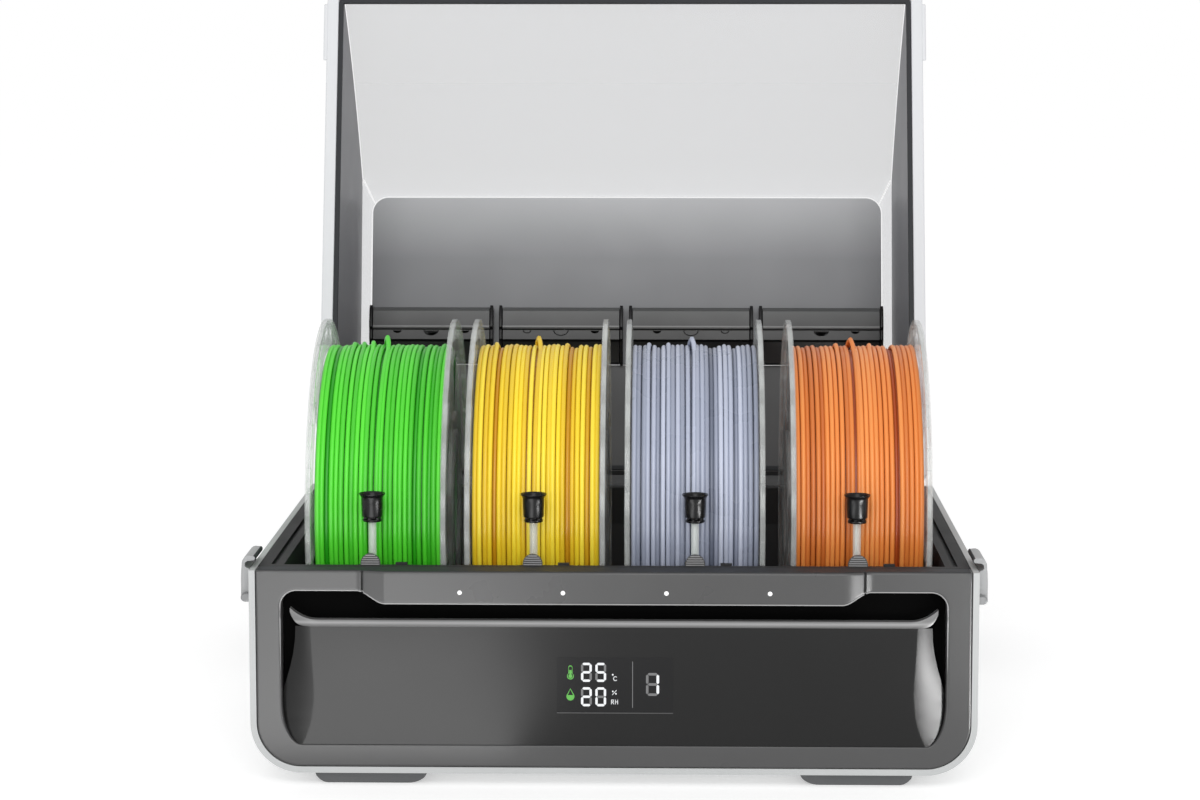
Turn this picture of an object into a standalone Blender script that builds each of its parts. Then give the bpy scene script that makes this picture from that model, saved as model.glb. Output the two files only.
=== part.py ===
"""Four-spool filament dryer box: tub on rollers, hinged clear lid, desiccant boxes and latches.

Units are metres, +Z is up and +X is the right-hand side. The box stands on its feet with the lid
open. Y runs from the front face towards the hinge, and the world origin is the middle of the floor
area that the open box covers.
"""

import math

import bmesh
import bpy
from mathutils import Matrix, Vector

# ---- driving dimensions -------------------------------------------------------------------------
HALF_WIDTH = 0.1854          # outer face of the shell
SHELL_WALL = 0.0032
SHELL_CORNER = 0.026         # outer radius of the two bottom edges
SHELL_BOTTOM = 0.0066
RIM_TOP = 0.1117             # seam between box and lid
RIM_FACE = RIM_TOP - 0.0002  # upper edge of the shell, the bezel and the rear cover
BODY_BACK = 0.2955           # rear face of the rear cover, measured from the front face
COVER_PLATE = 0.006          # thickness of the rear cover
BEZEL_DEPTH = 0.012
GAP = 0.0003                 # clearance between pieces that touch

# The front opening: its sides, its bottom, and a top edge that steps down in the middle.
OPENING_SIDE = 0.1692
OPENING_LOW = 0.0213
OPENING_WING = 0.1009
OPENING_MIDDLE = 0.0947
STEP_IN = 0.1160             # the step in the top edge lies between these two distances
STEP_OUT = 0.1304
BEZEL_PROUD = 0.003          # the bezel's middle stands this far in front of its ends
LOWER_CORNER = (0.012, 0.028)
UPPER_CORNER = 0.008

LIGHT_Z = 0.101
LIGHT_PITCH = 0.0524
LIGHT_SHIFT = 0.0008
LIGHT_RADIUS = 0.0011

PANEL_LOW = 0.0217
PANEL_TOP = 0.0862
PANEL_WALL = 0.0022
SCOOP_DEPTH = 0.017          # how far the panel's upper ends curve back
DISPLAY_LOW = (-0.0287, 0.0385)
DISPLAY_HIGH = (0.0305, 0.0668)

# The tub's hollow, as (depth, height) from the front rim to the rear rim.
TUB_HALF = 0.1693
TUB_WALL = 0.0025
TUB_FRONT, TUB_BACK = 0.017, 0.2830
TUB_FLOOR = 0.0195
TUB_FLOOR_FRONT, TUB_FLOOR_BACK = 0.056, 0.214
TUB_SECTION = ((TUB_FRONT, 0.130), (TUB_FRONT, 0.103), (0.024, 0.098), (0.038, 0.070),
               (0.045, 0.044), (TUB_FLOOR_FRONT, TUB_FLOOR), (TUB_FLOOR_BACK, TUB_FLOOR),
               (0.276, 0.060), (TUB_BACK, 0.090), (TUB_BACK, 0.130))
TUB_OUTSIDE = ((TUB_FRONT - TUB_WALL, 0.1085), (TUB_FRONT - TUB_WALL, 0.1015), (0.02125, 0.0965),
               (0.0355, 0.0690), (0.0425, 0.0435), (0.0543, TUB_FLOOR - TUB_WALL),
               (0.2147, TUB_FLOOR - TUB_WALL), (0.2775, 0.0578), (TUB_BACK + TUB_WALL, 0.0895),
               (TUB_BACK + TUB_WALL, 0.1085))
RIM_UNDERSIDE = 0.1068
SEAL_GROOVE = (0.1734, 0.1759)

OUTLET_X = 0.060
OUTLET_Z = 0.060
SOCKET_X = -0.060
VENTS = 7
VENT_PITCH = 0.007

SLOTS = 4
BAY_PITCH = 0.0833
SPOOL_AXIS_Y = 0.127
SPOOL_AXIS_Z = 0.127
SPOOL_RADIUS = 0.100
SPOOL_BORE = 0.0275
BARREL_RADIUS = 0.040
FLANGE = 0.0028
SPOOL_HALF = 0.0363
WINDING_RADIUS = 0.086
SPOOL_X = (-0.1233, -0.0411, 0.0415, 0.1273)

ROLLER_RING = 0.009
ROLLER_CORE = 0.006
ROLLER_JOURNAL = 0.0025
ROLLER_ANGLE = math.radians(38)
ROLLER_REACH = SPOOL_RADIUS + ROLLER_RING + 0.0004
RING_IN, RING_OUT = 0.0318, 0.0386
ROLLER_END, ROLLER_TIP = 0.0388, 0.0410

GUIDE_Y = 0.031
TAB_Y = 0.019
TAB_PIVOT_Z = 0.1055
TAB_HALF = 0.0051
TAB_TOP = 0.1172
TAB_PIN = 0.0012

HINGE_Y = 0.2995
HINGE_Z = 0.113
HINGE_X = 0.120              # middle of each of the two hinges
HINGE_BARREL = 0.0032
HINGE_BORE = 0.0018
LID_OPEN = math.radians(106.2)
LID_HALF = 0.1826
LID_FRAME_INNER = 0.1755
LINER_INNER = 0.1727
COVER_HALF = 0.1724
PANEL_HALF = 0.1670
LID_LOW = -0.0005            # the lid's rim, above the hinge axis when closed
COVER_WALL = 0.0026
CREASE_REACH = 0.217         # reaches are distances from the hinge axis, with the lid closed
PANEL_REACH = 0.2067
EDGE_SLOPE, TOP_SLOPE = 0.09, 0.06
PLATE_HALF = PANEL_HALF - 0.0009
PLATE_THICK = 0.002
BOX_REACH = 0.097            # the desiccant boxes hang between here and BOX_FAR
BOX_FAR = 0.1327
BOX_PITCH = 0.0843
BOX_HALF = 0.0392

LATCH_PIVOT_X = 0.188
LATCH_PIVOT_Z = 0.0965
LATCH_FRONT = 0.008
LATCH_BACK = 0.038
LATCH_BORE = 0.0012
LUG = 0.0028                 # width of the shell's lug at each end of a latch

# Half of the depth of the open box, so that its floor area is centred on the world origin.
FRONT_Y = -0.2487

COLLECTION = "filament_dryer_box"


# ---- scene and helpers --------------------------------------------------------------------------
def clear_scene():
    for obj in list(bpy.data.objects):
        bpy.data.objects.remove(obj, do_unlink=True)


def new_collection(name):
    collection = bpy.data.collections.new(name)
    bpy.context.scene.collection.children.link(collection)
    return collection


def material(name, colour, roughness, metallic=0.0, alpha=1.0):
    made = bpy.data.materials.new(name)
    made.use_nodes = True
    shader = made.node_tree.nodes["Principled BSDF"]
    shader.inputs["Base Color"].default_value = (*colour, 1.0)
    shader.inputs["Roughness"].default_value = roughness
    shader.inputs["Metallic"].default_value = metallic
    shader.inputs["Alpha"].default_value = alpha
    made.diffuse_color = (*colour, alpha)
    return made


def smooth(obj):
    obj.data.shade_smooth()
    obj.data.set_sharp_from_angle(angle=math.radians(35))


def place(obj, parent=None):
    """Link a finished piece to the model, under the frame or under a joint's empty."""
    PARTS.objects.link(obj)
    obj.parent = parent or FRAME


def helper(obj, parent=None):
    """Keep a cutter or an added block out of the model."""
    CUTTERS.objects.link(obj)
    obj.parent = parent or FRAME
    obj.hide_render = True
    obj.display_type = "WIRE"


def boolean(obj, other, operation, parent=None):
    helper(other, parent)
    modifier = obj.modifiers.new(other.name, "BOOLEAN")
    modifier.operation = operation
    modifier.object = other


def cut(obj, other, parent=None):
    boolean(obj, other, "DIFFERENCE", parent)


def add(obj, other, parent=None):
    boolean(obj, other, "UNION", parent)


def block(name, low, high, look=None, taper=0.0):
    """A box between two corners; taper pulls its bottom edges in."""
    low, high = Vector(low), Vector(high)
    size = high - low
    mesh = bpy.data.meshes.new(name)
    form = bmesh.new()
    bmesh.ops.create_cube(form, size=1.0)
    for vert in form.verts:
        below = vert.co.z < 0
        vert.co = Vector(a * b for a, b in zip(vert.co, size))
        if below:
            vert.co.x -= math.copysign(taper, vert.co.x)
            vert.co.y -= math.copysign(taper / 2, vert.co.y)
    form.to_mesh(mesh)
    form.free()
    obj = bpy.data.objects.new(name, mesh)
    obj.location = (low + high) / 2
    if look:
        mesh.materials.append(look)
    return obj


def rod(name, radius, length, centre, axis, look=None, sides=16):
    """A round bar along X, Y or Z."""
    mesh = bpy.data.meshes.new(name)
    form = bmesh.new()
    bmesh.ops.create_cone(form, cap_ends=True, segments=sides, radius1=radius, radius2=radius,
                          depth=length)
    form.to_mesh(mesh)
    form.free()
    obj = bpy.data.objects.new(name, mesh)
    obj.location = centre
    turns = {"X": (0, math.pi / 2, 0), "Y": (math.pi / 2, 0, 0), "Z": (0, 0, 0)}
    obj.rotation_euler = turns[axis]
    if look:
        mesh.materials.append(look)
    return obj


# An outline's own X and Y, and the way it is extruded, as world directions.
PLANES = {
    "XZ": Matrix(((1, 0, 0), (0, 0, -1), (0, 1, 0))).to_4x4(),
    "YZ": Matrix(((0, 0, 1), (1, 0, 0), (0, 1, 0))).to_4x4(),
    "XY": Matrix.Identity(4),
}
PLANE_NORMAL = {"XZ": Vector((0, 1, 0)), "YZ": Vector((1, 0, 0)), "XY": Vector((0, 0, 1))}


def prism(name, outlines, plane, start, end, look=None):
    """A flat outline, with any holes after it, extruded from start to end across its plane."""
    curve = bpy.data.curves.new(name, "CURVE")
    curve.dimensions = "2D"
    curve.fill_mode = "BOTH"
    curve.extrude = abs(end - start) / 2
    for outline in outlines:
        spline = curve.splines.new("POLY")
        spline.points.add(len(outline) - 1)
        for point, (x, y) in zip(spline.points, outline):
            point.co = (x, y, 0, 1)
        spline.use_cyclic_u = True
    source = bpy.data.objects.new(name + "_outline", curve)
    bpy.context.scene.collection.objects.link(source)
    graph = bpy.context.evaluated_depsgraph_get()
    mesh = bpy.data.meshes.new_from_object(source.evaluated_get(graph))
    bpy.data.objects.remove(source)
    form = bmesh.new()
    form.from_mesh(mesh)
    bmesh.ops.remove_doubles(form, verts=form.verts, dist=1e-6)
    bmesh.ops.recalc_face_normals(form, faces=form.faces)
    form.to_mesh(mesh)
    form.free()
    mesh.name = name
    obj = bpy.data.objects.new(name, mesh)
    obj.matrix_basis = Matrix.Translation(PLANE_NORMAL[plane] * (start + end) / 2) @ PLANES[plane]
    mesh.materials.clear()
    if look:
        mesh.materials.append(look)
    return obj


def turned(name, profile, centre, axis, look, steps=24, closed=True):
    """A (radius, height) profile, running down its outer side, turned about X or Z."""
    mesh = bpy.data.meshes.new(name)
    last = len(profile) if closed else len(profile) - 1
    edges = [(i, (i + 1) % len(profile)) for i in range(last)]
    mesh.from_pydata([(radius, 0, height) for radius, height in profile], edges, [])
    obj = bpy.data.objects.new(name, mesh)
    obj.location = centre
    if axis == "X":
        obj.rotation_euler = (0, math.pi / 2, 0)
    screw = obj.modifiers.new("turn", "SCREW")
    screw.steps = steps
    screw.render_steps = steps
    screw.use_merge_vertices = True
    screw.merge_threshold = 0.00001
    screw.use_smooth_shade = False
    mesh.materials.append(look)
    return obj


def arc(x, y, radius_x, radius_y, first, last, count):
    """Points along part of an ellipse, with its angles in degrees."""
    points = []
    for i in range(count + 1):
        angle = math.radians(first + (last - first) * i / count)
        points.append((x + radius_x * math.cos(angle), y + radius_y * math.sin(angle)))
    return points


def mirrored(points):
    return [(-x, y) for x, y in reversed(points)]


def blend(t):
    """A smooth step from 0 to 1."""
    t = min(max(t, 0.0), 1.0)
    return t * t * (3 - 2 * t)


def slot_x(index):
    return (index - (SLOTS - 1) / 2) * BAY_PITCH


def empty(name, location, rotation=(0, 0, 0), parent=None):
    obj = bpy.data.objects.new(name, None)
    obj.location = location
    obj.rotation_euler = rotation
    PARTS.objects.link(obj)
    obj.parent = parent
    return obj


# ---- box: shell, tub, front and back ------------------------------------------------------------
def tray_outline(inset, top):
    """The box's outline seen from the front, this far inside the outer face."""
    radius = SHELL_CORNER - inset
    side = HALF_WIDTH - inset
    low = SHELL_BOTTOM + inset
    right = [(side, top)] + arc(side - radius, low + radius, radius, radius, 0, -90, 10)
    return right + mirrored(right)


def latch_lug(side, start):
    """One of the two ears that hold a latch's pin."""
    root = HALF_WIDTH - 0.0002
    lug = [(root, LATCH_PIVOT_Z - 0.0022), (LATCH_PIVOT_X, LATCH_PIVOT_Z - 0.0022)]
    lug += arc(LATCH_PIVOT_X, LATCH_PIVOT_Z, 0.0022, 0.0022, -60, 90, 5)
    lug.append((root, LATCH_PIVOT_Z + 0.0022))
    outline = [(x * side, z) for x, z in lug]
    return prism(f"latch_lug_{side}_{start:.3f}", [outline], "XZ", start, start + LUG)


def outer_shell():
    outside = tray_outline(0, RIM_FACE)
    inside = tray_outline(SHELL_WALL, RIM_FACE)
    shell = prism("outer_shell", [outside + inside[::-1]], "XZ", 0, BODY_BACK, SHELL_GREY)
    for side in (-1, 1):
        for start in (LATCH_FRONT - GAP - LUG, LATCH_BACK + GAP):
            add(shell, latch_lug(side, start))
        centre = (side * LATCH_PIVOT_X, (LATCH_FRONT + LATCH_BACK) / 2, LATCH_PIVOT_Z)
        cut(shell, rod(f"latch_bore_{side}", LATCH_BORE, 0.040, centre, "Y", sides=12))
    place(shell)


def opening_outline():
    """The front opening: flat at the top, lower in the middle, and rounder at its lower corners."""
    right = [(0, OPENING_MIDDLE)]
    for i in range(9):
        t = i / 8
        right.append((STEP_IN + (STEP_OUT - STEP_IN) * t,
                      OPENING_MIDDLE + (OPENING_WING - OPENING_MIDDLE) * blend(t)))
    right += arc(OPENING_SIDE - UPPER_CORNER, OPENING_WING - UPPER_CORNER, UPPER_CORNER, UPPER_CORNER,
                 90, 0, 5)
    right += arc(OPENING_SIDE - LOWER_CORNER[0], OPENING_LOW + LOWER_CORNER[1], *LOWER_CORNER,
                 0, -90, 8)
    return right + mirrored(right[1:])


def front_bezel():
    bezel = prism("front_bezel", [tray_outline(SHELL_WALL + GAP, RIM_FACE)], "XZ", 0, BEZEL_DEPTH,
                  BEZEL_GREY)
    step = []
    for i in range(9):
        t = i / 8
        step.append((STEP_IN + (STEP_OUT - STEP_IN) * t, -BEZEL_PROUD * (1 - blend(t))))
    front = step + [(STEP_OUT, 0.008)]
    add(bezel, prism("bezel_bump", [front + mirrored(front)], "XY", 0.085, RIM_FACE))
    cut(bezel, prism("bezel_opening", [opening_outline()], "XZ", -0.02, 0.03))
    for i in range(SLOTS):
        cut(bezel, rod(f"light_hole_{i + 1}", LIGHT_RADIUS + GAP, 0.03, (light_x(i), 0.002, LIGHT_Z),
                       "Y", sides=12))
    place(bezel)


def light_x(index):
    return (index - (SLOTS - 1) / 2) * LIGHT_PITCH + LIGHT_SHIFT


def light_bar():
    """A clear bar behind the bezel, with one post for each indicator light."""
    back = BEZEL_DEPTH + 0.0005
    bar = block("light_bar", (light_x(0) - 0.006, back, LIGHT_Z - 0.0025),
                (light_x(3) + 0.006, back + 0.0017, LIGHT_Z + 0.0025), LAMP_WHITE)
    for i in range(SLOTS):
        add(bar, rod(f"light_post_{i + 1}", LIGHT_RADIUS, 0.0165, (light_x(i), 0.0051, LIGHT_Z), "Y",
                     sides=12))
    place(bar)


def panel_depth(x, z):
    """How far the front panel lies behind the front face: flat, with scooped ends."""
    rise = (z - PANEL_LOW) / (PANEL_TOP - PANEL_LOW)
    flat = 0.0008 + 0.0022 * rise
    flat_half = 0.1515 + 0.009 * (1 - blend(rise * 2.2))
    inward = (abs(x) - flat_half) / (OPENING_SIDE - 0.0004 - flat_half)
    inward = min(max(inward, 0.0), 1.0)
    return flat + SCOOP_DEPTH * blend(rise * 1.6) * inward ** 1.5


def panel_side(z):
    """Half of the panel's width at this height, just inside the opening."""
    width, height = LOWER_CORNER
    fall = max(0.0, 1 - (z - OPENING_LOW) / height)
    return OPENING_SIDE - 0.0006 - width * (1 - math.sqrt(max(0.0, 1 - fall * fall)))


def front_panel():
    mesh = bpy.data.meshes.new("front_panel")
    form = bmesh.new()
    bmesh.ops.create_grid(form, x_segments=34, y_segments=10, size=1.0)
    for vert in form.verts:
        z = PANEL_LOW + (PANEL_TOP - PANEL_LOW) * (vert.co.y + 1) / 2
        reach = 1 - (1 - abs(vert.co.x)) ** 1.6
        x = math.copysign(panel_side(z) * reach, vert.co.x)
        vert.co = Vector((x, panel_depth(x, z), z))
    bmesh.ops.recalc_face_normals(form, faces=form.faces)
    form.to_mesh(mesh)
    form.free()
    panel = bpy.data.objects.new("front_panel", mesh)
    mesh.materials.append(PANEL_BLACK)
    wall = panel.modifiers.new("wall", "SOLIDIFY")
    wall.thickness = PANEL_WALL
    wall.offset = -1 if mesh.polygons[0].normal.y < 0 else 1
    cut(panel, block("display_hole", (DISPLAY_LOW[0] - GAP, -0.01, DISPLAY_LOW[1] - GAP),
                     (DISPLAY_HIGH[0] + GAP, 0.02, DISPLAY_HIGH[1] + GAP)))
    place(panel)


def display_window():
    place(block("display_window", (DISPLAY_LOW[0], 0.0013, DISPLAY_LOW[1]),
                (DISPLAY_HIGH[0], 0.0045, DISPLAY_HIGH[1]), DISPLAY_BLACK))


def control_board():
    place(block("control_board", (-0.060, 0.0075, 0.034), (0.060, 0.0091, 0.074), BOARD_GREEN))


def feeder_unit():
    """One housing with the four drive units, under the guide tubes."""
    housing = block("feeder_unit", (-0.150, 0.018, 0.0105), (0.150, 0.037, 0.042), FEEDER_BLACK)
    for i in range(SLOTS):
        add(housing, rod(f"feeder_motor_{i + 1}", 0.007, 0.008, (slot_x(i), 0.0150, 0.0310), "Y"))
    place(housing)


def roller_centre(side):
    """Where a roller's axis is, on the front (-1) or the rear (1) of the spools."""
    return (SPOOL_AXIS_Y + side * ROLLER_REACH * math.sin(ROLLER_ANGLE),
            SPOOL_AXIS_Z - ROLLER_REACH * math.cos(ROLLER_ANGLE))


def bracket_outline(side):
    y, z = roller_centre(side)
    base = TUB_FLOOR - 0.001
    return [(y + 0.0075, base)] + arc(y, z, 0.0058, 0.0058, 0, 180, 8) + [(y - 0.0075, base)]


def add_roller_brackets(tub):
    for side in (-1, 1):
        y, z = roller_centre(side)
        for i in range(SLOTS + 1):
            x = (i - SLOTS / 2) * BAY_PITCH
            low, high = x - 0.002, x + 0.002
            if i == 0:
                low = -TUB_HALF - 0.001
            if i == SLOTS:
                high = TUB_HALF + 0.001
            add(tub, prism(f"bracket_{side}_{i}", [bracket_outline(side)], "YZ", low, high))
        cut(tub, rod(f"roller_bore_{side}", ROLLER_JOURNAL + GAP, 2 * TUB_HALF - 0.001,
                     (0, y, z), "X"))


def add_guide_bosses(tub):
    """A boss for each guide tube, with a slot and a pivot hole for its release tab."""
    for i in range(SLOTS):
        x = slot_x(i)
        add(tub, block(f"guide_boss_{i + 1}", (x - 0.0082, 0.016, 0.092),
                       (x + 0.0204, 0.037, 0.1083)))
        add(tub, block(f"runout_flag_{i + 1}", (x + 0.0130, 0.0178, 0.1080),
                       (x + 0.0188, 0.0205, 0.1126)))
        cut(tub, block(f"tab_slot_{i + 1}", (x - 0.0056, 0.0172, 0.0965), (x + 0.0056, 0.0240, 0.12)))
        cut(tub, rod(f"tab_bore_{i + 1}", TAB_PIN + GAP, 0.0148, (x, TAB_Y, TAB_PIVOT_Z), "X", sides=12))
        cut(tub, rod(f"guide_bore_{i + 1}", 0.0024, 0.030, (x, GUIDE_Y, 0.109), "Z"))


def inner_tub():
    front, back = BEZEL_DEPTH + GAP, BODY_BACK - COVER_PLATE - GAP
    side = HALF_WIDTH - SHELL_WALL - GAP
    tub = block("inner_tub", (-side, front, RIM_UNDERSIDE), (side, back, RIM_TOP), TUB_GREY)
    add(tub, prism("tub_body", [TUB_OUTSIDE], "YZ", -TUB_HALF - TUB_WALL,
                   TUB_HALF + TUB_WALL))
    cut(tub, prism("tub_cavity", [TUB_SECTION], "YZ", -TUB_HALF, TUB_HALF))
    for sign in (-1, 1):
        inner, outer = sorted(sign * edge for edge in SEAL_GROOVE)
        cut(tub, block(f"seal_groove_{sign}", (inner, 0.018, RIM_TOP - 0.002),
                       (outer, 0.286, RIM_TOP + 0.01)))
    add_roller_brackets(tub)
    add_guide_bosses(tub)
    place(tub)


def rear_cover():
    cover = prism("rear_cover", [tray_outline(SHELL_WALL + GAP, RIM_FACE)], "XZ",
                  BODY_BACK - COVER_PLATE, BODY_BACK, BEZEL_GREY)
    for side in (-1, 1):
        for shift in (-0.009, 0.009):
            x = side * HINGE_X + shift
            add(cover, block(f"hinge_arm_{x:.3f}", (x - 0.003, BODY_BACK - 0.003, 0.104),
                             (x + 0.003, HINGE_Y, HINGE_Z - 0.0012)))
            add(cover, rod(f"hinge_knuckle_{x:.3f}", HINGE_BARREL, 0.006, (x, HINGE_Y, HINGE_Z), "X"))
        cut(cover, rod(f"hinge_bore_{side}", HINGE_BORE, 0.030, (side * HINGE_X, HINGE_Y, HINGE_Z),
                       "X", sides=12))
    cut(cover, rod("outlet_hole", 0.0063, 0.04, (OUTLET_X, BODY_BACK, OUTLET_Z), "Y", sides=20))
    cut(cover, block("socket_hole", (SOCKET_X - 0.016 - GAP, 0.28, 0.053 - GAP),
                     (SOCKET_X + 0.016 + GAP, 0.31, 0.067 + GAP)))
    for i in range(VENTS):
        z = 0.034 + VENT_PITCH * i
        cut(cover, block(f"vent_{i + 1}", (-0.020, 0.28, z), (0.020, 0.31, z + 0.003)))
    place(cover)


def outlet_fitting():
    """The push-in fitting that the feed tube to the printer goes into."""
    profile = ((0.0022, 0.010), (0.0045, 0.010), (0.0045, 0.007), (0.0075, 0.0065),
               (0.0075, 0.0004), (0.0060, 0.0004), (0.0060, -0.012), (0.0022, -0.012))
    fitting = turned("outlet_fitting", profile, (OUTLET_X, BODY_BACK, OUTLET_Z), "Z", FITTING_WHITE,
                     20)
    fitting.rotation_euler = (-math.pi / 2, 0, 0)
    place(fitting)


def signal_socket():
    """Two small sockets in one frame, for power and data."""
    frame = block("signal_socket", (SOCKET_X - 0.016, 0.286, 0.053),
                  (SOCKET_X + 0.016, 0.2965, 0.067), FEEDER_BLACK)
    for sign in (-1, 1):
        x = SOCKET_X + sign * 0.0078
        cut(frame, block(f"socket_{sign}", (x - 0.0055, 0.289, 0.0558),
                         (x + 0.0055, 0.30, 0.0642)))
    place(frame)


def feet():
    for tag, y in (("front", 0.006), ("rear", 0.256)):
        for name, sign in (("left", -1), ("right", 1)):
            low, high = sorted((sign * 0.0955, sign * 0.1535))
            foot = block(f"foot_{tag}_{name}", (low, y, 0.0), (high, y + 0.030, SHELL_BOTTOM - GAP),
                         FOOT_GREY, taper=0.006)
            place(foot)


# ---- box: guides, rollers and latches -----------------------------------------------------------
def guides():
    funnel_profile = ((0.0052, 0.1467), (0.0067, 0.1467), (0.0067, 0.1461), (0.0052, 0.1442),
                      (0.0050, 0.1342), (0.0035, 0.1338), (0.0044, 0.1330), (0.0044, 0.1321),
                      (0.0024, 0.1321), (0.0024, 0.1376), (0.0013, 0.1380), (0.0013, 0.1398))
    tube_profile = ((0.0011, 0.1370), (0.00205, 0.1370), (0.00205, 0.0945), (0.0011, 0.0945))
    for i in range(SLOTS):
        place(turned(f"inlet_funnel_{i + 1}", funnel_profile, (slot_x(i), GUIDE_Y, 0), "Z",
                     FEEDER_BLACK, 18))
        place(turned(f"guide_tube_{i + 1}", tube_profile, (slot_x(i), GUIDE_Y, 0), "Z",
                     CLEAR_TUBE, 14))


def release_tabs():
    outline = [(-TAB_HALF, -0.0016), (TAB_HALF, -0.0016)]
    outline += arc(0, TAB_TOP - TAB_HALF - TAB_PIVOT_Z, TAB_HALF, TAB_HALF, 0, 180, 12)
    for i in range(SLOTS):
        pivot = empty(f"release_tab_pivot_{i + 1}", (slot_x(i), TAB_Y, TAB_PIVOT_Z), parent=FRAME)
        tab = prism(f"release_tab_{i + 1}", [outline], "XZ", -0.0012, 0.0012, FEEDER_BLACK)
        add(tab, rod(f"tab_barrel_{i + 1}", TAB_PIN, 0.0142, (0, 0, 0), "X", sides=12), pivot)
        place(tab, pivot)


def rollers():
    right = ((ROLLER_CORE, RING_IN), (ROLLER_RING, RING_IN + 0.001), (ROLLER_RING, RING_OUT),
             (ROLLER_JOURNAL, ROLLER_END), (ROLLER_JOURNAL, ROLLER_TIP))
    half = [(0, ROLLER_TIP)] + list(reversed(right))
    profile = half + [(radius, -height) for radius, height in reversed(half)]
    for tag, side in (("front", -1), ("rear", 1)):
        y, z = roller_centre(side)
        for i in range(SLOTS):
            place(turned(f"{tag}_roller_{i + 1}", profile, (slot_x(i), y, z), "X", RUBBER_BLACK, 16,
                         closed=False))


def latch_outline(side):
    pivot = (LATCH_PIVOT_X, LATCH_PIVOT_Z)
    points = arc(*pivot, 0.0022, 0.0022, 180, 360, 6)
    points += [(0.1904, 0.1030), (0.1902, 0.1095), (0.1896, 0.1140), (0.1880, 0.1167),
               (0.1858, 0.1178), (0.1832, 0.1178), (0.1832, 0.1148), (0.1876, 0.1148),
               (0.1884, 0.1140), (0.1882, 0.1117), (0.1858, 0.1112)]
    return [(side * (x - pivot[0]), z - pivot[1]) for x, z in points]


def latches():
    for name, side in (("left", -1), ("right", 1)):
        centre_y = (LATCH_FRONT + LATCH_BACK) / 2
        pivot = empty(f"{name}_latch_pivot", (side * LATCH_PIVOT_X, centre_y, LATCH_PIVOT_Z),
                      parent=FRAME)
        half = (LATCH_BACK - LATCH_FRONT) / 2
        latch = prism(f"{name}_latch", [latch_outline(side)], "XZ", -half, half, SHELL_GREY)
        cut(latch, rod(f"{name}_latch_bore", LATCH_BORE, 0.05, (0, 0, 0), "Y", sides=12), pivot)
        place(latch, pivot)
        place(rod(f"{name}_latch_pin", LATCH_BORE - GAP, 0.0355,
                  (side * LATCH_PIVOT_X, centre_y, LATCH_PIVOT_Z), "Y", STEEL, 12))


def hinge_pins():
    for name, side in (("left", -1), ("right", 1)):
        place(rod(f"{name}_hinge_pin", HINGE_BORE - GAP, 0.0236, (side * HINGE_X, HINGE_Y, HINGE_Z),
                  "X", STEEL, 12))


# ---- lid, drawn closed about the hinge axis -----------------------------------------------------
def bezier(first, handle, last, count):
    """Points of a quadratic curve from first to last."""
    points = []
    for i in range(count + 1):
        t = i / count
        points.append(tuple((1 - t) ** 2 * a + 2 * t * (1 - t) * b + t * t * c
                            for a, b, c in zip(first, handle, last)))
    return points


def lid_edge_height(reach):
    """Inner height of the cover along its side edges, behind the crease."""
    return 0.1400 + (CREASE_REACH - reach) * EDGE_SLOPE


def lid_top_height(reach):
    """Inner height of the cover's raised middle, behind the crease."""
    return 0.1484 + (PANEL_REACH - reach) * TOP_SLOPE


def front_curve(offset, count=8):
    """The curved front of the lid, in (reach, height), this far outside the cover's inner face."""
    first = (0.2998 + offset, 0.0030)
    handle = (0.2660 + offset, 0.0800 + offset * 0.3)
    last = (CREASE_REACH + offset * 0.4, lid_edge_height(CREASE_REACH) + offset)
    return bezier(first, handle, last, count)


def lid_side_outline(offset, low, back):
    """A side of the lid seen from the right: back wall, top and curved front."""
    high_back = lid_edge_height(back) + offset
    points = [(back, low)] + [(back + 0.010 - 0.010 * math.cos(t), high_back - 0.010
                               + 0.010 * math.sin(t))
                              for t in (i * math.pi / 8 for i in range(5))]
    points += list(reversed(front_curve(offset)))
    points.append((0.2998 + offset, low))
    return [(-reach, height) for reach, height in points]


def lid_frame():
    outline = lid_side_outline(COVER_WALL, LID_LOW, 0.0035)
    frame = prism("lid_frame", [outline], "YZ", -LID_HALF, LID_HALF, LID_WHITE)
    cut(frame, block("lid_hollow", (-LID_FRAME_INNER, -0.320, -0.01),
                     (LID_FRAME_INNER, -0.0065, 0.20)), LID)
    add(frame, block("lid_front_bar", (-LID_FRAME_INNER - 0.001, -0.3022, LID_LOW),
                     (LID_FRAME_INNER + 0.001, -0.2988, 0.0026)), LID)
    for side in (-1, 1):
        inner, outer = sorted((side * (LID_HALF - 0.001), side * (LID_HALF + 0.0020)))
        add(frame, block(f"lid_catch_{side}", (inner, -0.2955, -0.0002), (outer, -0.2600, 0.0013)),
            LID)
        x = side * HINGE_X
        add(frame, block(f"lid_arm_{side}", (x - 0.0057, -0.0050, LID_LOW), (x + 0.0057, 0, 0.0030)),
            LID)
        add(frame, rod(f"lid_knuckle_{side}", HINGE_BARREL, 0.0114, (x, 0, 0), "X"), LID)
        cut(frame, rod(f"lid_bore_{side}", HINGE_BORE, 0.030, (x, 0, 0), "X", sides=12), LID)
    place(frame, LID)


def cover_rows():
    """Rows of the clear cover, from the front edge to the back: reach, edge and middle heights."""
    rows = [(reach, height, height) for reach, height in front_curve(0)]
    for reach in (PANEL_REACH + 0.002, 0.150, 0.080, 0.0068):
        rows.append((reach, lid_edge_height(reach), lid_top_height(reach)))
    return rows


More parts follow.
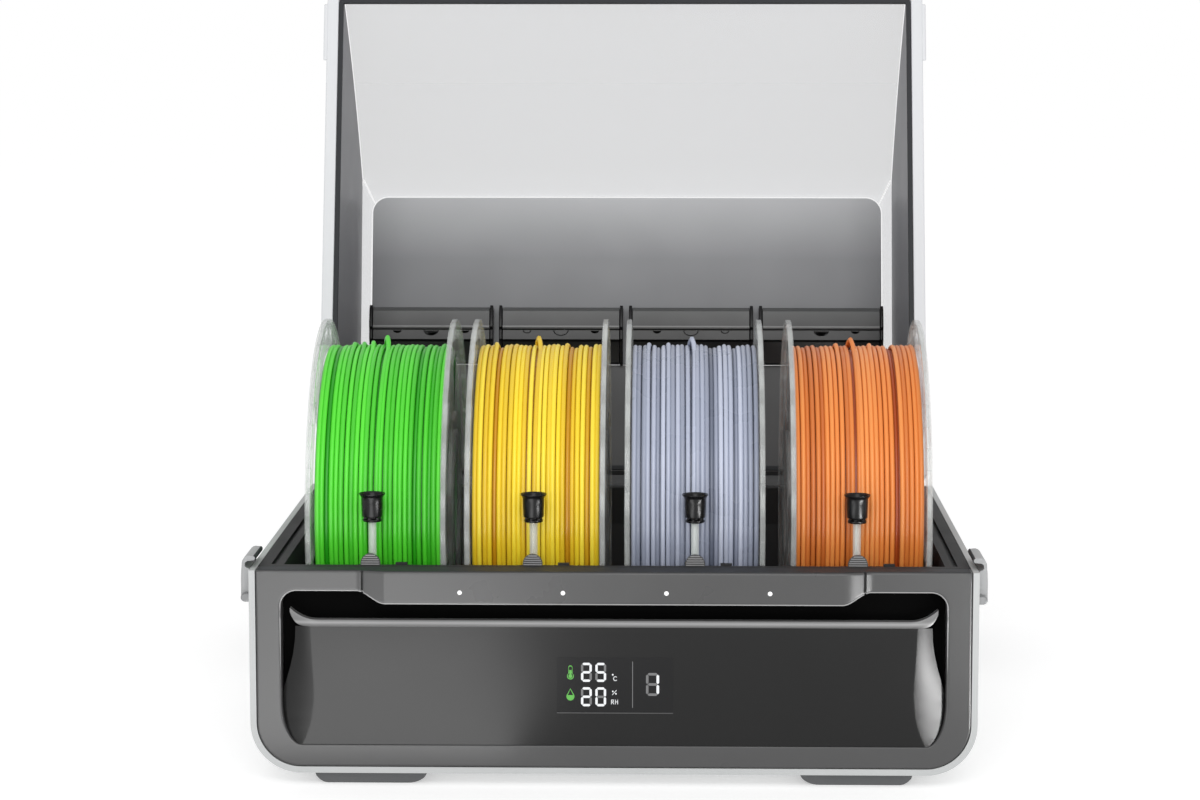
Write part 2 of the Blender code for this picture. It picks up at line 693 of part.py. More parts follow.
def lid_cover():
    rows = cover_rows()
    columns = (-COVER_HALF, -PANEL_HALF, -PANEL_HALF / 2, 0, PANEL_HALF / 2, PANEL_HALF, COVER_HALF)
    mesh = bpy.data.meshes.new("lid_cover")
    form = bmesh.new()
    bmesh.ops.create_grid(form, x_segments=len(columns) - 1, y_segments=len(rows) - 1, size=1.0)
    for vert in form.verts:
        column = round((vert.co.x + 1) / 2 * (len(columns) - 1))
        reach, edge, middle = rows[round((vert.co.y + 1) / 2 * (len(rows) - 1))]
        height = edge if column in (0, len(columns) - 1) else middle
        vert.co = Vector((columns[column], -reach, height))
    bmesh.ops.recalc_face_normals(form, faces=form.faces)
    form.to_mesh(mesh)
    form.free()
    cover = bpy.data.objects.new("lid_cover", mesh)
    mesh.materials.append(CLEAR_LID)
    wall = cover.modifiers.new("wall", "SOLIDIFY")
    wall.thickness = COVER_WALL
    wall.offset = 1 if mesh.polygons[-1].normal.z > 0 else -1
    place(cover, LID)


def sloped_plate(name, outline, look):
    """A thin plate just under the middle of the cover, from an outline of (x, reach)."""
    slope = math.atan(TOP_SLOPE)
    plate = prism(name, [[(x, -reach / math.cos(slope)) for x, reach in outline]], "XY", 0,
                  PLATE_THICK, look)
    lift = Matrix.Translation((0, 0, lid_top_height(0) - 0.0024))
    plate.matrix_basis = lift @ Matrix.Rotation(slope, 4, "X") @ plate.matrix_basis
    return plate


def lid_panel():
    radius = 0.009
    right = [(PLATE_HALF, BOX_REACH + 0.0002)]
    right += arc(PLATE_HALF - radius, PANEL_REACH - radius, radius, radius, 0, 90, 6)
    place(sloped_plate("lid_panel", right + mirrored(right), SMOKED_PANEL), LID)


def lid_rear_liner():
    near, far = 0.0075, BOX_REACH - 0.0002
    outline = [(PLATE_HALF, near), (PLATE_HALF, far), (-PLATE_HALF, far), (-PLATE_HALF, near)]
    place(sloped_plate("lid_rear_liner", outline, TUB_GREY), LID)


def lid_side_liners():
    outline = lid_side_outline(-0.0005, 0.0026, 0.0070)
    for name, side in (("left", -1), ("right", 1)):
        low, high = sorted((side * LINER_INNER, side * (LID_FRAME_INNER - GAP)))
        place(prism(f"lid_liner_{name}", [outline], "YZ", low, high, LINER_GREY), LID)


def lid_gasket():
    outer, inner = LID_FRAME_INNER - GAP, LINER_INNER
    width = outer - inner
    near, far = -0.0069, -0.2985
    ring = [(outer, near), (-outer, near), (-outer, far), (outer, far)]
    hole = [(inner, near - width), (-inner, near - width), (-inner, far + width),
            (inner, far + width)]
    place(prism("lid_gasket", [ring, hole], "XY", -0.0010, 0.0022, RUBBER_BLACK), LID)


def desiccant_section(grow):
    """Section of a desiccant box in (-reach, height), made larger by grow below its mounting face."""
    top_far, top_near = lid_top_height(BOX_FAR) - 0.0028, lid_top_height(BOX_REACH) - 0.0028
    points = [(BOX_FAR + grow, top_far), (BOX_FAR + grow, 0.1412 - grow), (0.1302, 0.1390 - grow),
              (0.1192, 0.1385 - grow), (0.1177, 0.1400 - grow), (0.1114, 0.1404 - grow),
              (0.1100, 0.1420 - grow), (BOX_REACH - grow * 0.7, 0.1460 - grow),
              (BOX_REACH - grow * 0.7, top_near)]
    return [(-reach, height) for reach, height in points]


def desiccant_boxes():
    for i in range(SLOTS):
        x = (i - (SLOTS - 1) / 2) * BOX_PITCH
        body = prism(f"desiccant_box_{i + 1}", [desiccant_section(0)], "YZ", x - BOX_HALF,
                     x + BOX_HALF, DESICCANT_BLACK)
        for side in (-1, 1):
            low, high = sorted((x + side * (BOX_HALF - 0.0005), x + side * (BOX_HALF + 0.001)))
            add(body, prism(f"box_end_{i + 1}_{side}", [desiccant_section(0.0012)], "YZ", low, high),
                LID)
        place(body, LID)


# ---- spools -------------------------------------------------------------------------------------
def spools():
    flange_in = SPOOL_HALF - FLANGE
    spool_profile = ((SPOOL_BORE, SPOOL_HALF), (SPOOL_RADIUS, SPOOL_HALF), (SPOOL_RADIUS, flange_in),
                     (BARREL_RADIUS, flange_in), (BARREL_RADIUS, -flange_in),
                     (SPOOL_RADIUS, -flange_in), (SPOOL_RADIUS, -SPOOL_HALF),
                     (SPOOL_BORE, -SPOOL_HALF))
    inside, width = BARREL_RADIUS + GAP, flange_in - GAP
    winding_profile = ((inside, width), (WINDING_RADIUS, width), (WINDING_RADIUS, -width),
                       (inside, -width))
    for i, (x, look) in enumerate(zip(SPOOL_X, FILAMENTS)):
        centre = (x, SPOOL_AXIS_Y, SPOOL_AXIS_Z)
        place(turned(f"spool_{i + 1}", spool_profile, centre, "X", CLEAR_SPOOL, 40))
        place(turned(f"winding_{i + 1}", winding_profile, centre, "X", look, 40))


# ---- build --------------------------------------------------------------------------------------
clear_scene()
PARTS = new_collection(COLLECTION)
CUTTERS = new_collection("cutters")

SHELL_GREY = material("shell_grey", (0.66, 0.67, 0.68), 0.35)
BEZEL_GREY = material("bezel_grey", (0.16, 0.16, 0.16), 0.4)
PANEL_BLACK = material("panel_black", (0.05, 0.05, 0.05), 0.2)
DISPLAY_BLACK = material("display_black", (0.01, 0.01, 0.012), 0.1)
BOARD_GREEN = material("board_green", (0.02, 0.16, 0.06), 0.5)
LAMP_WHITE = material("lamp_white", (0.9, 0.9, 0.9), 0.4)
FEEDER_BLACK = material("feeder_black", (0.02, 0.02, 0.022), 0.4)
TUB_GREY = material("tub_grey", (0.07, 0.07, 0.07), 0.5)
FITTING_WHITE = material("fitting_white", (0.75, 0.75, 0.75), 0.4)
FOOT_GREY = material("foot_grey", (0.14, 0.145, 0.15), 0.6)
CLEAR_TUBE = material("clear_tube", (0.85, 0.88, 0.86), 0.15, alpha=0.5)
RUBBER_BLACK = material("rubber_black", (0.025, 0.025, 0.027), 0.7)
STEEL = material("steel", (0.6, 0.6, 0.62), 0.25, metallic=1.0)
LID_WHITE = material("lid_white", (0.84, 0.85, 0.87), 0.35)
CLEAR_LID = material("clear_lid", (0.72, 0.73, 0.76), 0.12, alpha=0.5)
SMOKED_PANEL = material("smoked_panel", (0.32, 0.32, 0.34), 0.2, alpha=0.7)
LINER_GREY = material("liner_grey", (0.22, 0.22, 0.235), 0.45)
DESICCANT_BLACK = material("desiccant_black", (0.04, 0.04, 0.042), 0.3)
CLEAR_SPOOL = material("clear_spool", (0.75, 0.78, 0.78), 0.1, alpha=0.4)
FILAMENTS = (material("filament_green", (0.12, 0.80, 0.06), 0.4),
             material("filament_yellow", (0.92, 0.65, 0.03), 0.4),
             material("filament_silver", (0.50, 0.54, 0.68), 0.3),
             material("filament_orange", (0.86, 0.22, 0.04), 0.4))

FRAME = empty("box_frame", (0, FRONT_Y, 0))
LID = empty("lid_hinge", (0, HINGE_Y, HINGE_Z), (-LID_OPEN, 0, 0), FRAME)

outer_shell()
inner_tub()
front_bezel()
front_panel()
display_window()
light_bar()
control_board()
feeder_unit()
rear_cover()
outlet_fitting()
signal_socket()
feet()
guides()
release_tabs()
rollers()
latches()
hinge_pins()
lid_frame()
lid_cover()
lid_panel()
lid_rear_liner()
lid_side_liners()
lid_gasket()
desiccant_boxes()
spools()

for piece in PARTS.objects:
    if piece.type == "MESH":
        smooth(piece)
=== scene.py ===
"""Four-spool filament dryer box with its lid open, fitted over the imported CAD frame.

Metres, +Z up. Box pieces are drawn with Y counted from the box's front face. Lid pieces are drawn
closed, as (x, -reach, height) from the hinge axis, and turned open.
"""

import math
import random

import bmesh
import bpy
import numpy as np
from mathutils import Matrix, Vector


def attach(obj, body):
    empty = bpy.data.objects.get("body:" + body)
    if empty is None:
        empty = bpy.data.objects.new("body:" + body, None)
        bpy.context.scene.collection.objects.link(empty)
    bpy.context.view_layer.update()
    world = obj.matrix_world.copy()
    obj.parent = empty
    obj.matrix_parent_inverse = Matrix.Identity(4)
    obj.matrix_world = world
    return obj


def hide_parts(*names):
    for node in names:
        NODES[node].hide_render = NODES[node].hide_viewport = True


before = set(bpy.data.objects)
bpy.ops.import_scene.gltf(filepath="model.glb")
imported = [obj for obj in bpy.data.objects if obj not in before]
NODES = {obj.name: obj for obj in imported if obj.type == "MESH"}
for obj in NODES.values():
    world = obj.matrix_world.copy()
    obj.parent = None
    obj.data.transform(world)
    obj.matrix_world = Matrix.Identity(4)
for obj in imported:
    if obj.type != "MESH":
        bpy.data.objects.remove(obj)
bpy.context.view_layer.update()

# ---- dimensions, mostly shared with the CAD -----------------------------------------------------
FRONT_Y = -0.2487
HALF_WIDTH = 0.1854
SHELL_WALL = 0.0032
SHELL_CORNER = 0.026
SHELL_BOTTOM = 0.0066
RIM_FACE = 0.1115
BODY_BACK = 0.2955
GAP = 0.0003
OPENING_SIDE = 0.1692
OPENING_LOW = 0.0213
OPENING_WING = 0.1009
OPENING_MIDDLE = 0.0947
STEP_IN, STEP_OUT = 0.1160, 0.1304
BEZEL_PROUD = 0.003
PANEL_LOW, PANEL_TOP = 0.02145, 0.0862
SLOTS = 4
SIDES = (("left", -1), ("right", 1))
BAY_PITCH = 0.0833
SPOOL_Y = SPOOL_Z = 0.127
SPOOL_RADIUS = 0.100
SPOOL_HALF = 0.0363
RIM_THICK = 0.0028
CORE_RADIUS, WOUND_RADIUS = 0.0836, 0.0849
WEB_OUTER, WEB_INNER = 0.0976, 0.0399
SPOOL_X = (-0.1233, -0.0411, 0.0415, 0.1273)
GUIDE_Y = 0.031
TAB_Y, TAB_PIVOT_Z = 0.019, 0.1055
LATCH_X, LATCH_Z = 0.188, 0.0965
OUTLET_X, SOCKET_X, PORT_Z = 0.060, -0.060, 0.060
HINGE_Y, HINGE_Z = 0.2995, 0.113
KNUCKLE_X, KNUCKLE_BORE, KNUCKLE_RADIUS = 0.120, 0.0018, 0.0032
LID_OPEN = math.radians(106.2)
LID_HALF = 0.1826
LID_INNER = 0.1755
LINER_INNER = 0.1727
COVER_HALF = 0.1724
PANEL_HALF = 0.1670
COVER_WALL = 0.0026
CREASE_REACH, PANEL_REACH, LID_REACH = 0.217, 0.2067, 0.2998
BOX_REACH, BOX_FAR, BOX_PITCH = 0.097, 0.1327, 0.0843

BOX = Matrix.Translation((0, FRONT_Y, 0))
LID = Matrix.Translation((0, FRONT_Y + HINGE_Y, HINGE_Z)) @ Matrix.Rotation(-LID_OPEN, 4, "X")


# ---- materials ----------------------------------------------------------------------------------
def new_material(name):
    made = bpy.data.materials.new(name)
    made.use_nodes = True
    tree = made.node_tree
    return made, tree, tree.nodes["Principled BSDF"]


def shader_node(tree, kind, **values):
    """Adds a shader node and sets the inputs named, with _ for a space in an input's name."""
    made = tree.nodes.new("ShaderNode" + kind)
    for name, value in values.items():
        made.inputs[name.replace("_", " ")].default_value = value
    return made


def noise(tree, scale, detail=3.0, stretch=(1, 1, 1)):
    coords = shader_node(tree, "TexCoord")
    mapping = shader_node(tree, "Mapping", Scale=stretch)
    made = shader_node(tree, "TexNoise", Scale=scale, Detail=detail)
    tree.links.new(coords.outputs["Object"], mapping.inputs["Vector"])
    tree.links.new(mapping.outputs["Vector"], made.inputs["Vector"])
    return made.outputs["Fac"]


def ramp(tree, source, stops):
    made = shader_node(tree, "ValToRGB")
    elements = made.color_ramp.elements
    for element, (position, colour) in zip(elements, (stops[0], stops[-1])):
        element.position = position
        element.color = (*colour, 1)
    for position, colour in stops[1:-1]:
        elements.new(position).color = (*colour, 1)
    tree.links.new(source, made.inputs["Fac"])
    return made.outputs["Color"]


def span(tree, source, low, high):
    """A noise value, mostly between 0.25 and 0.75, mapped to a range from low to high."""
    made = shader_node(tree, "MapRange", From_Min=0.25, From_Max=0.75, To_Min=low, To_Max=high)
    tree.links.new(source, made.inputs["Value"])
    return made.outputs["Result"]


def relief(tree, shader, height, strength, distance=0.0003):
    bump = shader_node(tree, "Bump", Strength=strength, Distance=distance)
    tree.links.new(height, bump.inputs["Height"])
    tree.links.new(bump.outputs["Normal"], shader.inputs["Normal"])


def tinted(colour, factor):
    return tuple(min(1.0, channel * factor) for channel in colour)


def drifting(tree, source, colour, vary):
    """A colour that drifts a little lighter and darker with a noise value."""
    return ramp(tree, source, [(0.3, tinted(colour, 1 - vary)), (0.7, tinted(colour, 1 + vary))])


def grey(level, blue=0.0):
    return (level, level, level + blue)


def plastic(name, colour, rough, grain=2600, bump=0.05, vary=0.05, rough_vary=0.05, metallic=0.0,
            specular=0.5, wear=0.0, stretch=(1, 1, 1)):
    """Moulded plastic: slow colour drift, fine grain in roughness and relief, paler worn edges."""
    made, tree, shader = new_material(name)
    blotch = noise(tree, 24, 4)
    base = drifting(tree, blotch, colour, vary)
    if wear:
        geometry = shader_node(tree, "NewGeometry")
        edge = ramp(tree, geometry.outputs["Pointiness"], [(0.5, (0, 0, 0)), (0.58, (wear,) * 3)])
        mix = shader_node(tree, "Mix")
        mix.data_type = "RGBA"
        mix.blend_type = "SCREEN"
        mix.inputs["Factor"].default_value = 1.0
        tree.links.new(base, mix.inputs["A"])
        tree.links.new(edge, mix.inputs["B"])
        base = mix.outputs["Result"]
    tree.links.new(base, shader.inputs["Base Color"])
    tree.links.new(span(tree, blotch, rough - rough_vary, rough + rough_vary),
                   shader.inputs["Roughness"])
    if bump:
        relief(tree, shader, noise(tree, grain, 2, stretch), bump)
    shader.inputs["Metallic"].default_value = metallic
    shader.inputs["Specular IOR Level"].default_value = specular
    return made


def gradient_plastic(name, low, high, stops, rough, bump=0.02):
    """Plastic whose grey follows its height, from low to high in metres, at rest: light and shade
    painted by height.
    """
    made, tree, shader = new_material(name)
    coords = shader_node(tree, "TexCoord")
    split = shader_node(tree, "SeparateXYZ")
    tree.links.new(coords.outputs["Object"], split.inputs["Vector"])
    along = shader_node(tree, "MapRange", From_Min=low, From_Max=high)
    tree.links.new(split.outputs["Z"], along.inputs["Value"])
    tree.links.new(ramp(tree, along.outputs["Result"], stops), shader.inputs["Base Color"])
    tree.links.new(span(tree, noise(tree, 30, 3), rough - 0.04, rough + 0.04),
                   shader.inputs["Roughness"])
    relief(tree, shader, noise(tree, 1800, 2), bump)
    return made


def clear_plastic(name, colour, alpha, rough=0.08, edge_alpha=0.6, vary=0.05):
    """Clear plastic: thin where seen face on, denser towards its edges, with faint flow marks."""
    made, tree, shader = new_material(name)
    blotch = noise(tree, 60, 3, (1, 1, 0.3))
    tree.links.new(drifting(tree, blotch, colour, vary), shader.inputs["Base Color"])
    tree.links.new(span(tree, blotch, rough * 0.6, rough * 1.5), shader.inputs["Roughness"])
    facing = shader_node(tree, "LayerWeight", Blend=0.35)
    dense = shader_node(tree, "MapRange", To_Min=alpha, To_Max=edge_alpha)
    tree.links.new(facing.outputs["Facing"], dense.inputs["Value"])
    tree.links.new(dense.outputs["Result"], shader.inputs["Alpha"])
    relief(tree, shader, noise(tree, 220, 2), 0.04, 0.0004)
    return made


def glowing(name, colour, strength):
    made, tree, shader = new_material(name)
    grain = noise(tree, 900, 2)
    tree.links.new(ramp(tree, grain, [(0.3, tinted(colour, 0.9)), (0.7, colour)]),
                   shader.inputs["Emission Color"])
    shader.inputs["Base Color"].default_value = (*tinted(colour, 0.05), 1)
    shader.inputs["Emission Strength"].default_value = strength
    shader.inputs["Roughness"].default_value = 0.4
    return made


def filament(name, dark, middle, light, rough=0.36):
    """Wound filament: each strand has its own tone, kept in a point attribute, which also holds
    painted shade: lower values on the core and on the sunk strands.
    """
    made, tree, shader = new_material(name)
    tone_and_shade = shader_node(tree, "Attribute")
    tone_and_shade.attribute_name = "tone_and_shade"
    drift = noise(tree, 45, 2)
    total = shader_node(tree, "Math")
    total.operation = "MULTIPLY_ADD"
    tree.links.new(drift, total.inputs[0])
    total.inputs[1].default_value = 0.03
    tree.links.new(tone_and_shade.outputs["Fac"], total.inputs[2])
    tree.links.new(ramp(tree, total.outputs["Value"], [(0.1, dark), (0.5, middle), (1.0, light)]),
                   shader.inputs["Base Color"])
    tree.links.new(span(tree, drift, rough - 0.06, rough + 0.08), shader.inputs["Roughness"])
    relief(tree, shader, noise(tree, 1500, 2), 0.05, 0.0002)
    return made


# ---- mesh helpers -------------------------------------------------------------------------------
PLANES = {"XZ": lambda u, v, w: (u, w, v), "YZ": lambda u, v, w: (w, u, v),
          "XY": lambda u, v, w: (u, v, w)}


def add_object(name, data):
    made = bpy.data.objects.new(name, data)
    bpy.context.scene.collection.objects.link(made)
    return made


def turns(first, last, count):
    """Angles in radians, evenly spaced between two in degrees."""
    return [math.radians(first + (last - first) * i / count) for i in range(count + 1)]


def arc(x, y, radius_x, radius_y, first, last, count):
    return [(x + radius_x * math.cos(a), y + radius_y * math.sin(a))
            for a in turns(first, last, count)]


def ring(x, y, radius, count=24):
    return arc(x, y, radius, radius, 0, 360, count)[:-1]


def rounded(x0, y0, x1, y1, radius, count=4):
    points = []
    for x, y, first in ((x1 - radius, y1 - radius, 0), (x0 + radius, y1 - radius, 90),
                        (x0 + radius, y0 + radius, 180), (x1 - radius, y0 + radius, 270)):
        points += arc(x, y, radius, radius, first, first + 90, count)
    return points


def tube(inner, outer, start, end):
    """The section of a tube, as (radius, height)."""
    return [(inner, start), (outer, start), (outer, end), (inner, end)]


def mirrored(points):
    return [(-x, y) for x, y in reversed(points)]


def blend(t):
    t = min(max(t, 0.0), 1.0)
    return t * t * (3 - 2 * t)


def prism(outlines, plane, start, end):
    """An outline, with any holes after it, extruded from start to end across its plane."""
    curve = bpy.data.curves.new("outline", "CURVE")
    curve.dimensions = "2D"
    curve.fill_mode = "BOTH"
    curve.extrude = abs(end - start) / 2
    for outline in outlines:
        spline = curve.splines.new("POLY")
        spline.points.add(len(outline) - 1)
        for point, (x, y) in zip(spline.points, outline):
            point.co = (x, y, 0, 1)
        spline.use_cyclic_u = True
    source = add_object("outline", curve)
    mesh = bpy.data.meshes.new_from_object(
        source.evaluated_get(bpy.context.evaluated_depsgraph_get()))
    bpy.data.objects.remove(source)
    bpy.data.curves.remove(curve)
    middle = (start + end) / 2
    verts = [PLANES[plane](v.co.x, v.co.y, v.co.z + middle) for v in mesh.vertices]
    faces = [tuple(face.vertices) for face in mesh.polygons]
    bpy.data.meshes.remove(mesh)
    return verts, faces


def slab(outline, plane, start, end):
    """An outline without holes, extruded, with one face at each end."""
    verts = [PLANES[plane](u, v, w) for w in (start, end) for u, v in outline]
    return verts, slab_faces(len(outline))


def slab_faces(count):
    """The faces of a solid between two matching rings of points."""
    faces = [tuple(range(count)), tuple(range(2 * count - 1, count - 1, -1))]
    return faces + [(i, (i + 1) % count, count + (i + 1) % count, count + i)
                    for i in range(count)]


def block(low, high):
    (x0, y0, z0), (x1, y1, z1) = low, high
    return slab([(x0, y0), (x1, y0), (x1, y1), (x0, y1)], "XY", z0, z1)


def grid(points, closed_u=False, closed_v=False):
    """A sheet through rows of points."""
    rows, columns = len(points), len(points[0])
    verts = [tuple(point) for row in points for point in row]
    faces = []
    for i in range(rows if closed_u else rows - 1):
        for j in range(columns if closed_v else columns - 1):
            a, b = (i + 1) % rows, (j + 1) % columns
            faces.append((i * columns + j, i * columns + b, a * columns + b, a * columns + j))
    return verts, faces


def turned(profile, centre, axis="Z", steps=40, closed=True):
    """A (radius, height) profile turned about an axis through centre."""
    rows = []
    for i in range(steps):
        angle = 2 * math.pi * i / steps
        row = []
        for radius, height in profile:
            u, v = radius * math.cos(angle), radius * math.sin(angle)
            point = {"Z": (u, v, height), "X": (height, u, v), "Y": (u, height, v)}[axis]
            row.append(tuple(a + b for a, b in zip(point, centre)))
        rows.append(row)
    return grid(rows, closed_u=True, closed_v=closed)


def joined(*parts):
    verts, faces = [], []
    for part_verts, part_faces in parts:
        base = len(verts)
        verts += part_verts
        faces += [tuple(base + i for i in face) for face in part_faces]
    return verts, faces


def pipe(path, radii, sides=8):
    """A round strand along a path of points, with one radius or a radius for each point."""
    path = [Vector(point) for point in path]
    radii = radii if isinstance(radii, list) else [radii] * len(path)
    rows = []
    for i, (point, radius) in enumerate(zip(path, radii)):
        along = (path[min(i + 1, len(path) - 1)] - path[max(i - 1, 0)]).normalized()
        side = along.cross(Vector((0, 0, 1)))
        if side.length < 1e-3:
            side = along.cross(Vector((0, 1, 0)))
        side.normalize()
        up = side.cross(along)
        rows.append([point + radius * (math.cos(a) * side + math.sin(a) * up)
                     for a in turns(0, 360, sides)[:-1]])
    verts, faces = grid(rows, closed_v=True)
    last = len(verts) - sides
    return verts, faces + [tuple(range(sides)), tuple(range(last + sides - 1, last - 1, -1))]


def piece(name, data, look, body="base", at=BOX, bevel=0.0, segments=2, stands_for=(), slot=None,
          angle=35, thickness=0.0, facing=None):
    """Makes one piece, riding on its body. An open sheet is turned to face a direction, and
    thickened on that side or, with a negative thickness, behind it."""
    verts, faces = data
    mesh = bpy.data.meshes.new(name)
    mesh.from_pydata([at @ Vector(vert) for vert in verts], [], faces)
    form = bmesh.new()
    form.from_mesh(mesh)
    bmesh.ops.remove_doubles(form, verts=form.verts, dist=1e-6)
    bmesh.ops.dissolve_degenerate(form, edges=form.edges, dist=1e-7)
    bmesh.ops.recalc_face_normals(form, faces=form.faces)
    if facing:
        ahead = at.to_3x3() @ Vector(facing)
        if sum(face.normal.dot(ahead) * face.calc_area() for face in form.faces) < 0:
            bmesh.ops.reverse_faces(form, faces=form.faces)
    rim = [edge.index for edge in form.edges if edge.is_boundary]
    form.to_mesh(mesh)
    form.free()
    obj = add_object(name, mesh)
    mesh.materials.append(look)
    mesh.shade_smooth()
    if thickness:
        wall = obj.modifiers.new("wall", "SOLIDIFY")
        wall.thickness = abs(thickness)
        wall.offset = 1 if thickness > 0 else -1
        wall.use_even_offset = True
    if bevel:
        edge = obj.modifiers.new("edge", "BEVEL")
        edge.width = bevel
        edge.segments = segments
        edge.limit_method = "ANGLE"
        edge.angle_limit = math.radians(angle)
        obj.modifiers.new("shade", "WEIGHTED_NORMAL")
    else:
        mesh.set_sharp_from_angle(angle=math.radians(angle))
        for index in rim:
            mesh.edges[index].use_edge_sharp = True
    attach(obj, body)
    if stands_for:
        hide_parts(*stands_for)
    return obj


def lid_piece(name, data, look, **options):
    """Makes one piece of the lid, drawn closed and turned open."""
    return piece(name, data, look, "lid", LID, **options)


def dress(node, look):
    """Keeps a CAD node, welds its facets for shading and gives it a finished material."""
    obj = NODES[node]
    for holder in obj.material_slots:
        holder.material = look
    obj.modifiers.new("weld", "WELD").merge_threshold = 0.00001


def slot_x(index):
    return (index - (SLOTS - 1) / 2) * BAY_PITCH


# ---- finishes -----------------------------------------------------------------------------------
SHELL = plastic("shell_light_grey", (0.44, 0.45, 0.45), 0.5, bump=0.06, vary=0.02, wear=0.03,
                specular=0.2)
# The latch lugs belong to the shell but are a darker grey: painted shade of the pocket round the
# latch's pivot.
LUG_SHADED = plastic("lug_painted_shade", (0.15, 0.154, 0.158), 0.38, bump=0.06, wear=0.10, specular=0.4)
HOOK = plastic("latch_grey", (0.26, 0.265, 0.27), 0.38, bump=0.06, wear=0.08, specular=0.4)
BEZEL = plastic("bezel_satin_grey", grey(0.065, 0.0005), 0.28, bump=0.04, vary=0.03,
                rough_vary=0.012, specular=0.34)
# A pale grey bead round the bezel's opening: a painted highlight along its lip.
LIP_HIGHLIGHT = plastic("bezel_lip_painted_highlight", grey(0.30), 0.3, bump=0.02, vary=0.03)
PANEL = plastic("panel_gloss_black", grey(0.005), 0.20, bump=0.006, rough_vary=0.01,
                specular=0.28)
# The rolled top edge is painted dark at its foot, lightest part way up and mid grey at its top: a
# painted highlight and shade by height.
ROLL_PAINTED_HIGHLIGHT = gradient_plastic("panel_rolled_edge_painted_highlight", 0.0822, 0.0856, (
    (0.0, grey(0.035)), (0.25, grey(0.10)), (0.6, grey(0.27)), (1.0, grey(0.15))), 0.34, 0.006)
# Near black: painted shade for the recess behind the bezel's opening.
RECESS_SHADE = plastic("recess_painted_shade", grey(0.002), 0.8, specular=0.02)
GLASS = plastic("display_glass", grey(0.004, 0.0005), 0.18, bump=0.0, rough_vary=0.01,
                specular=0.27)
SMALL_BLACK = plastic("moulded_black", grey(0.006, 0.0005), 0.28, bump=0.03, specular=0.22)
TAB_LOOK = plastic("tab_grey", grey(0.010, 0.0005), 0.4, bump=0.06, wear=0.08)
# The tab's ribs are pale grey on a black tab: a painted highlight on the ribs.
TAB_RIB_HIGHLIGHT = plastic("tab_rib_painted_highlight", grey(0.26, 0.002), 0.34, bump=0.04)
TUB = plastic("tub_dark_grey", grey(0.028, 0.001), 0.6, bump=0.10, specular=0.15)
FOOT = plastic("foot_rubber", (0.086, 0.089, 0.092), 0.5, grain=1800, bump=0.12, vary=0.06)
RUBBER = plastic("roller_rubber", grey(0.02, 0.001), 0.72, grain=1500, bump=0.2)
STEEL = plastic("pin_steel", grey(0.55, 0.01), 0.28, metallic=1.0, stretch=(0.05, 1, 1))
BOARD = plastic("board_green", (0.02, 0.15, 0.06), 0.5, grain=700, bump=0.2, vary=0.2)
LID_WHITE = plastic("lid_white", (0.60, 0.61, 0.63), 0.32, vary=0.02, wear=0.03)
LINER = plastic("liner_grey", grey(0.20, 0.015), 0.42)
GASKET = plastic("gasket_rubber", (0.028, 0.030, 0.033), 0.6, grain=1500, bump=0.15, specular=0.2)
REAR_LINER = plastic("rear_liner_grey", grey(0.020, 0.001), 0.4, bump=0.06)
REAR_WALL = plastic("rear_wall_grey", grey(0.014, 0.0005), 0.62, bump=0.06, specular=0.12)
# From its open side up, painted by height: painted shade at the open side, a painted highlight on
# the front edge, a face painted lighter upwards as light falls on its curve, and a dark top.
DESICCANT_PAINTED_LIGHT = gradient_plastic("desiccant_case", 0.1790, 0.2030, (
    (0.0, grey(0.003)), (0.16, grey(0.003)), (0.20, grey(0.008)), (0.36, grey(0.014)),
    (0.38, grey(0.17)), (0.44, grey(0.17)), (0.46, grey(0.018)), (0.90, (0.070, 0.072, 0.072)),
    (0.93, grey(0.008)), (1.0, grey(0.008))), 0.34)
FITTING = plastic("fitting_white", grey(0.68, -0.01), 0.35)
# Glowing white lines along the lid's creases and panel border: painted highlights, not lamps.
PAINTED_EDGE_HIGHLIGHT = glowing("edge_painted_highlight", grey(1.0), 0.9)
LENS = glowing("indicator_white", grey(1.0), 1.2)
DIGIT = glowing("display_white", (0.93, 0.95, 0.97), 0.95)
ICON = glowing("display_green", (0.10, 0.50, 0.05), 0.95)
UNLIT = glowing("display_unlit", grey(0.165, 0.003), 1.0)
CLEAR_LID = clear_plastic("lid_clear", (0.36, 0.375, 0.42), 0.19, 0.14, 0.24, vary=0.01)
CLEAR_SPOOL = clear_plastic("spool_clear", (0.60, 0.62, 0.61), 0.20, 0.10, 0.50, vary=0.16)
CLEAR_TUBE = clear_plastic("tube_clear", (0.80, 0.84, 0.80), 0.30, 0.12, 0.85)
# The smoked panel's grey is painted lighter towards its top at rest: painted light and shade
# across a flat plate.
SMOKED_PAINTED_SHADE = gradient_plastic("panel_smoked_painted_shade", 0.20, 0.270, (
    (0.0, (0.14, 0.143, 0.153)), (0.45, (0.195, 0.199, 0.211)), (1.0, (0.44, 0.446, 0.462))), 0.34)
FILAMENTS = {
    "green": filament("filament_green", (0.012, 0.30, 0.004), (0.085, 0.68, 0.03),
                      (0.22, 0.92, 0.10)),
    "yellow": filament("filament_yellow", (0.50, 0.22, 0.003), (0.90, 0.68, 0.025),
                       (0.98, 0.88, 0.15)),
    "silver": filament("filament_silver", (0.09, 0.105, 0.15), (0.40, 0.435, 0.54),
                       (0.78, 0.82, 0.95), 0.28),
    "orange": filament("filament_orange", (0.34, 0.055, 0.006), (0.76, 0.235, 0.045),
                       (0.93, 0.44, 0.14))}


# ---- box ----------------------------------------------------------------------------------------
def tray_outline(inset, top, count=18):
    """The shell seen from the front: open above, with rounded lower corners."""
    radius = SHELL_CORNER - inset
    side = HALF_WIDTH - inset
    low = SHELL_BOTTOM + inset
    right = [(side, top)] + arc(side - radius, low + radius, radius, radius, 0, -90, count)
    return right + mirrored(right)


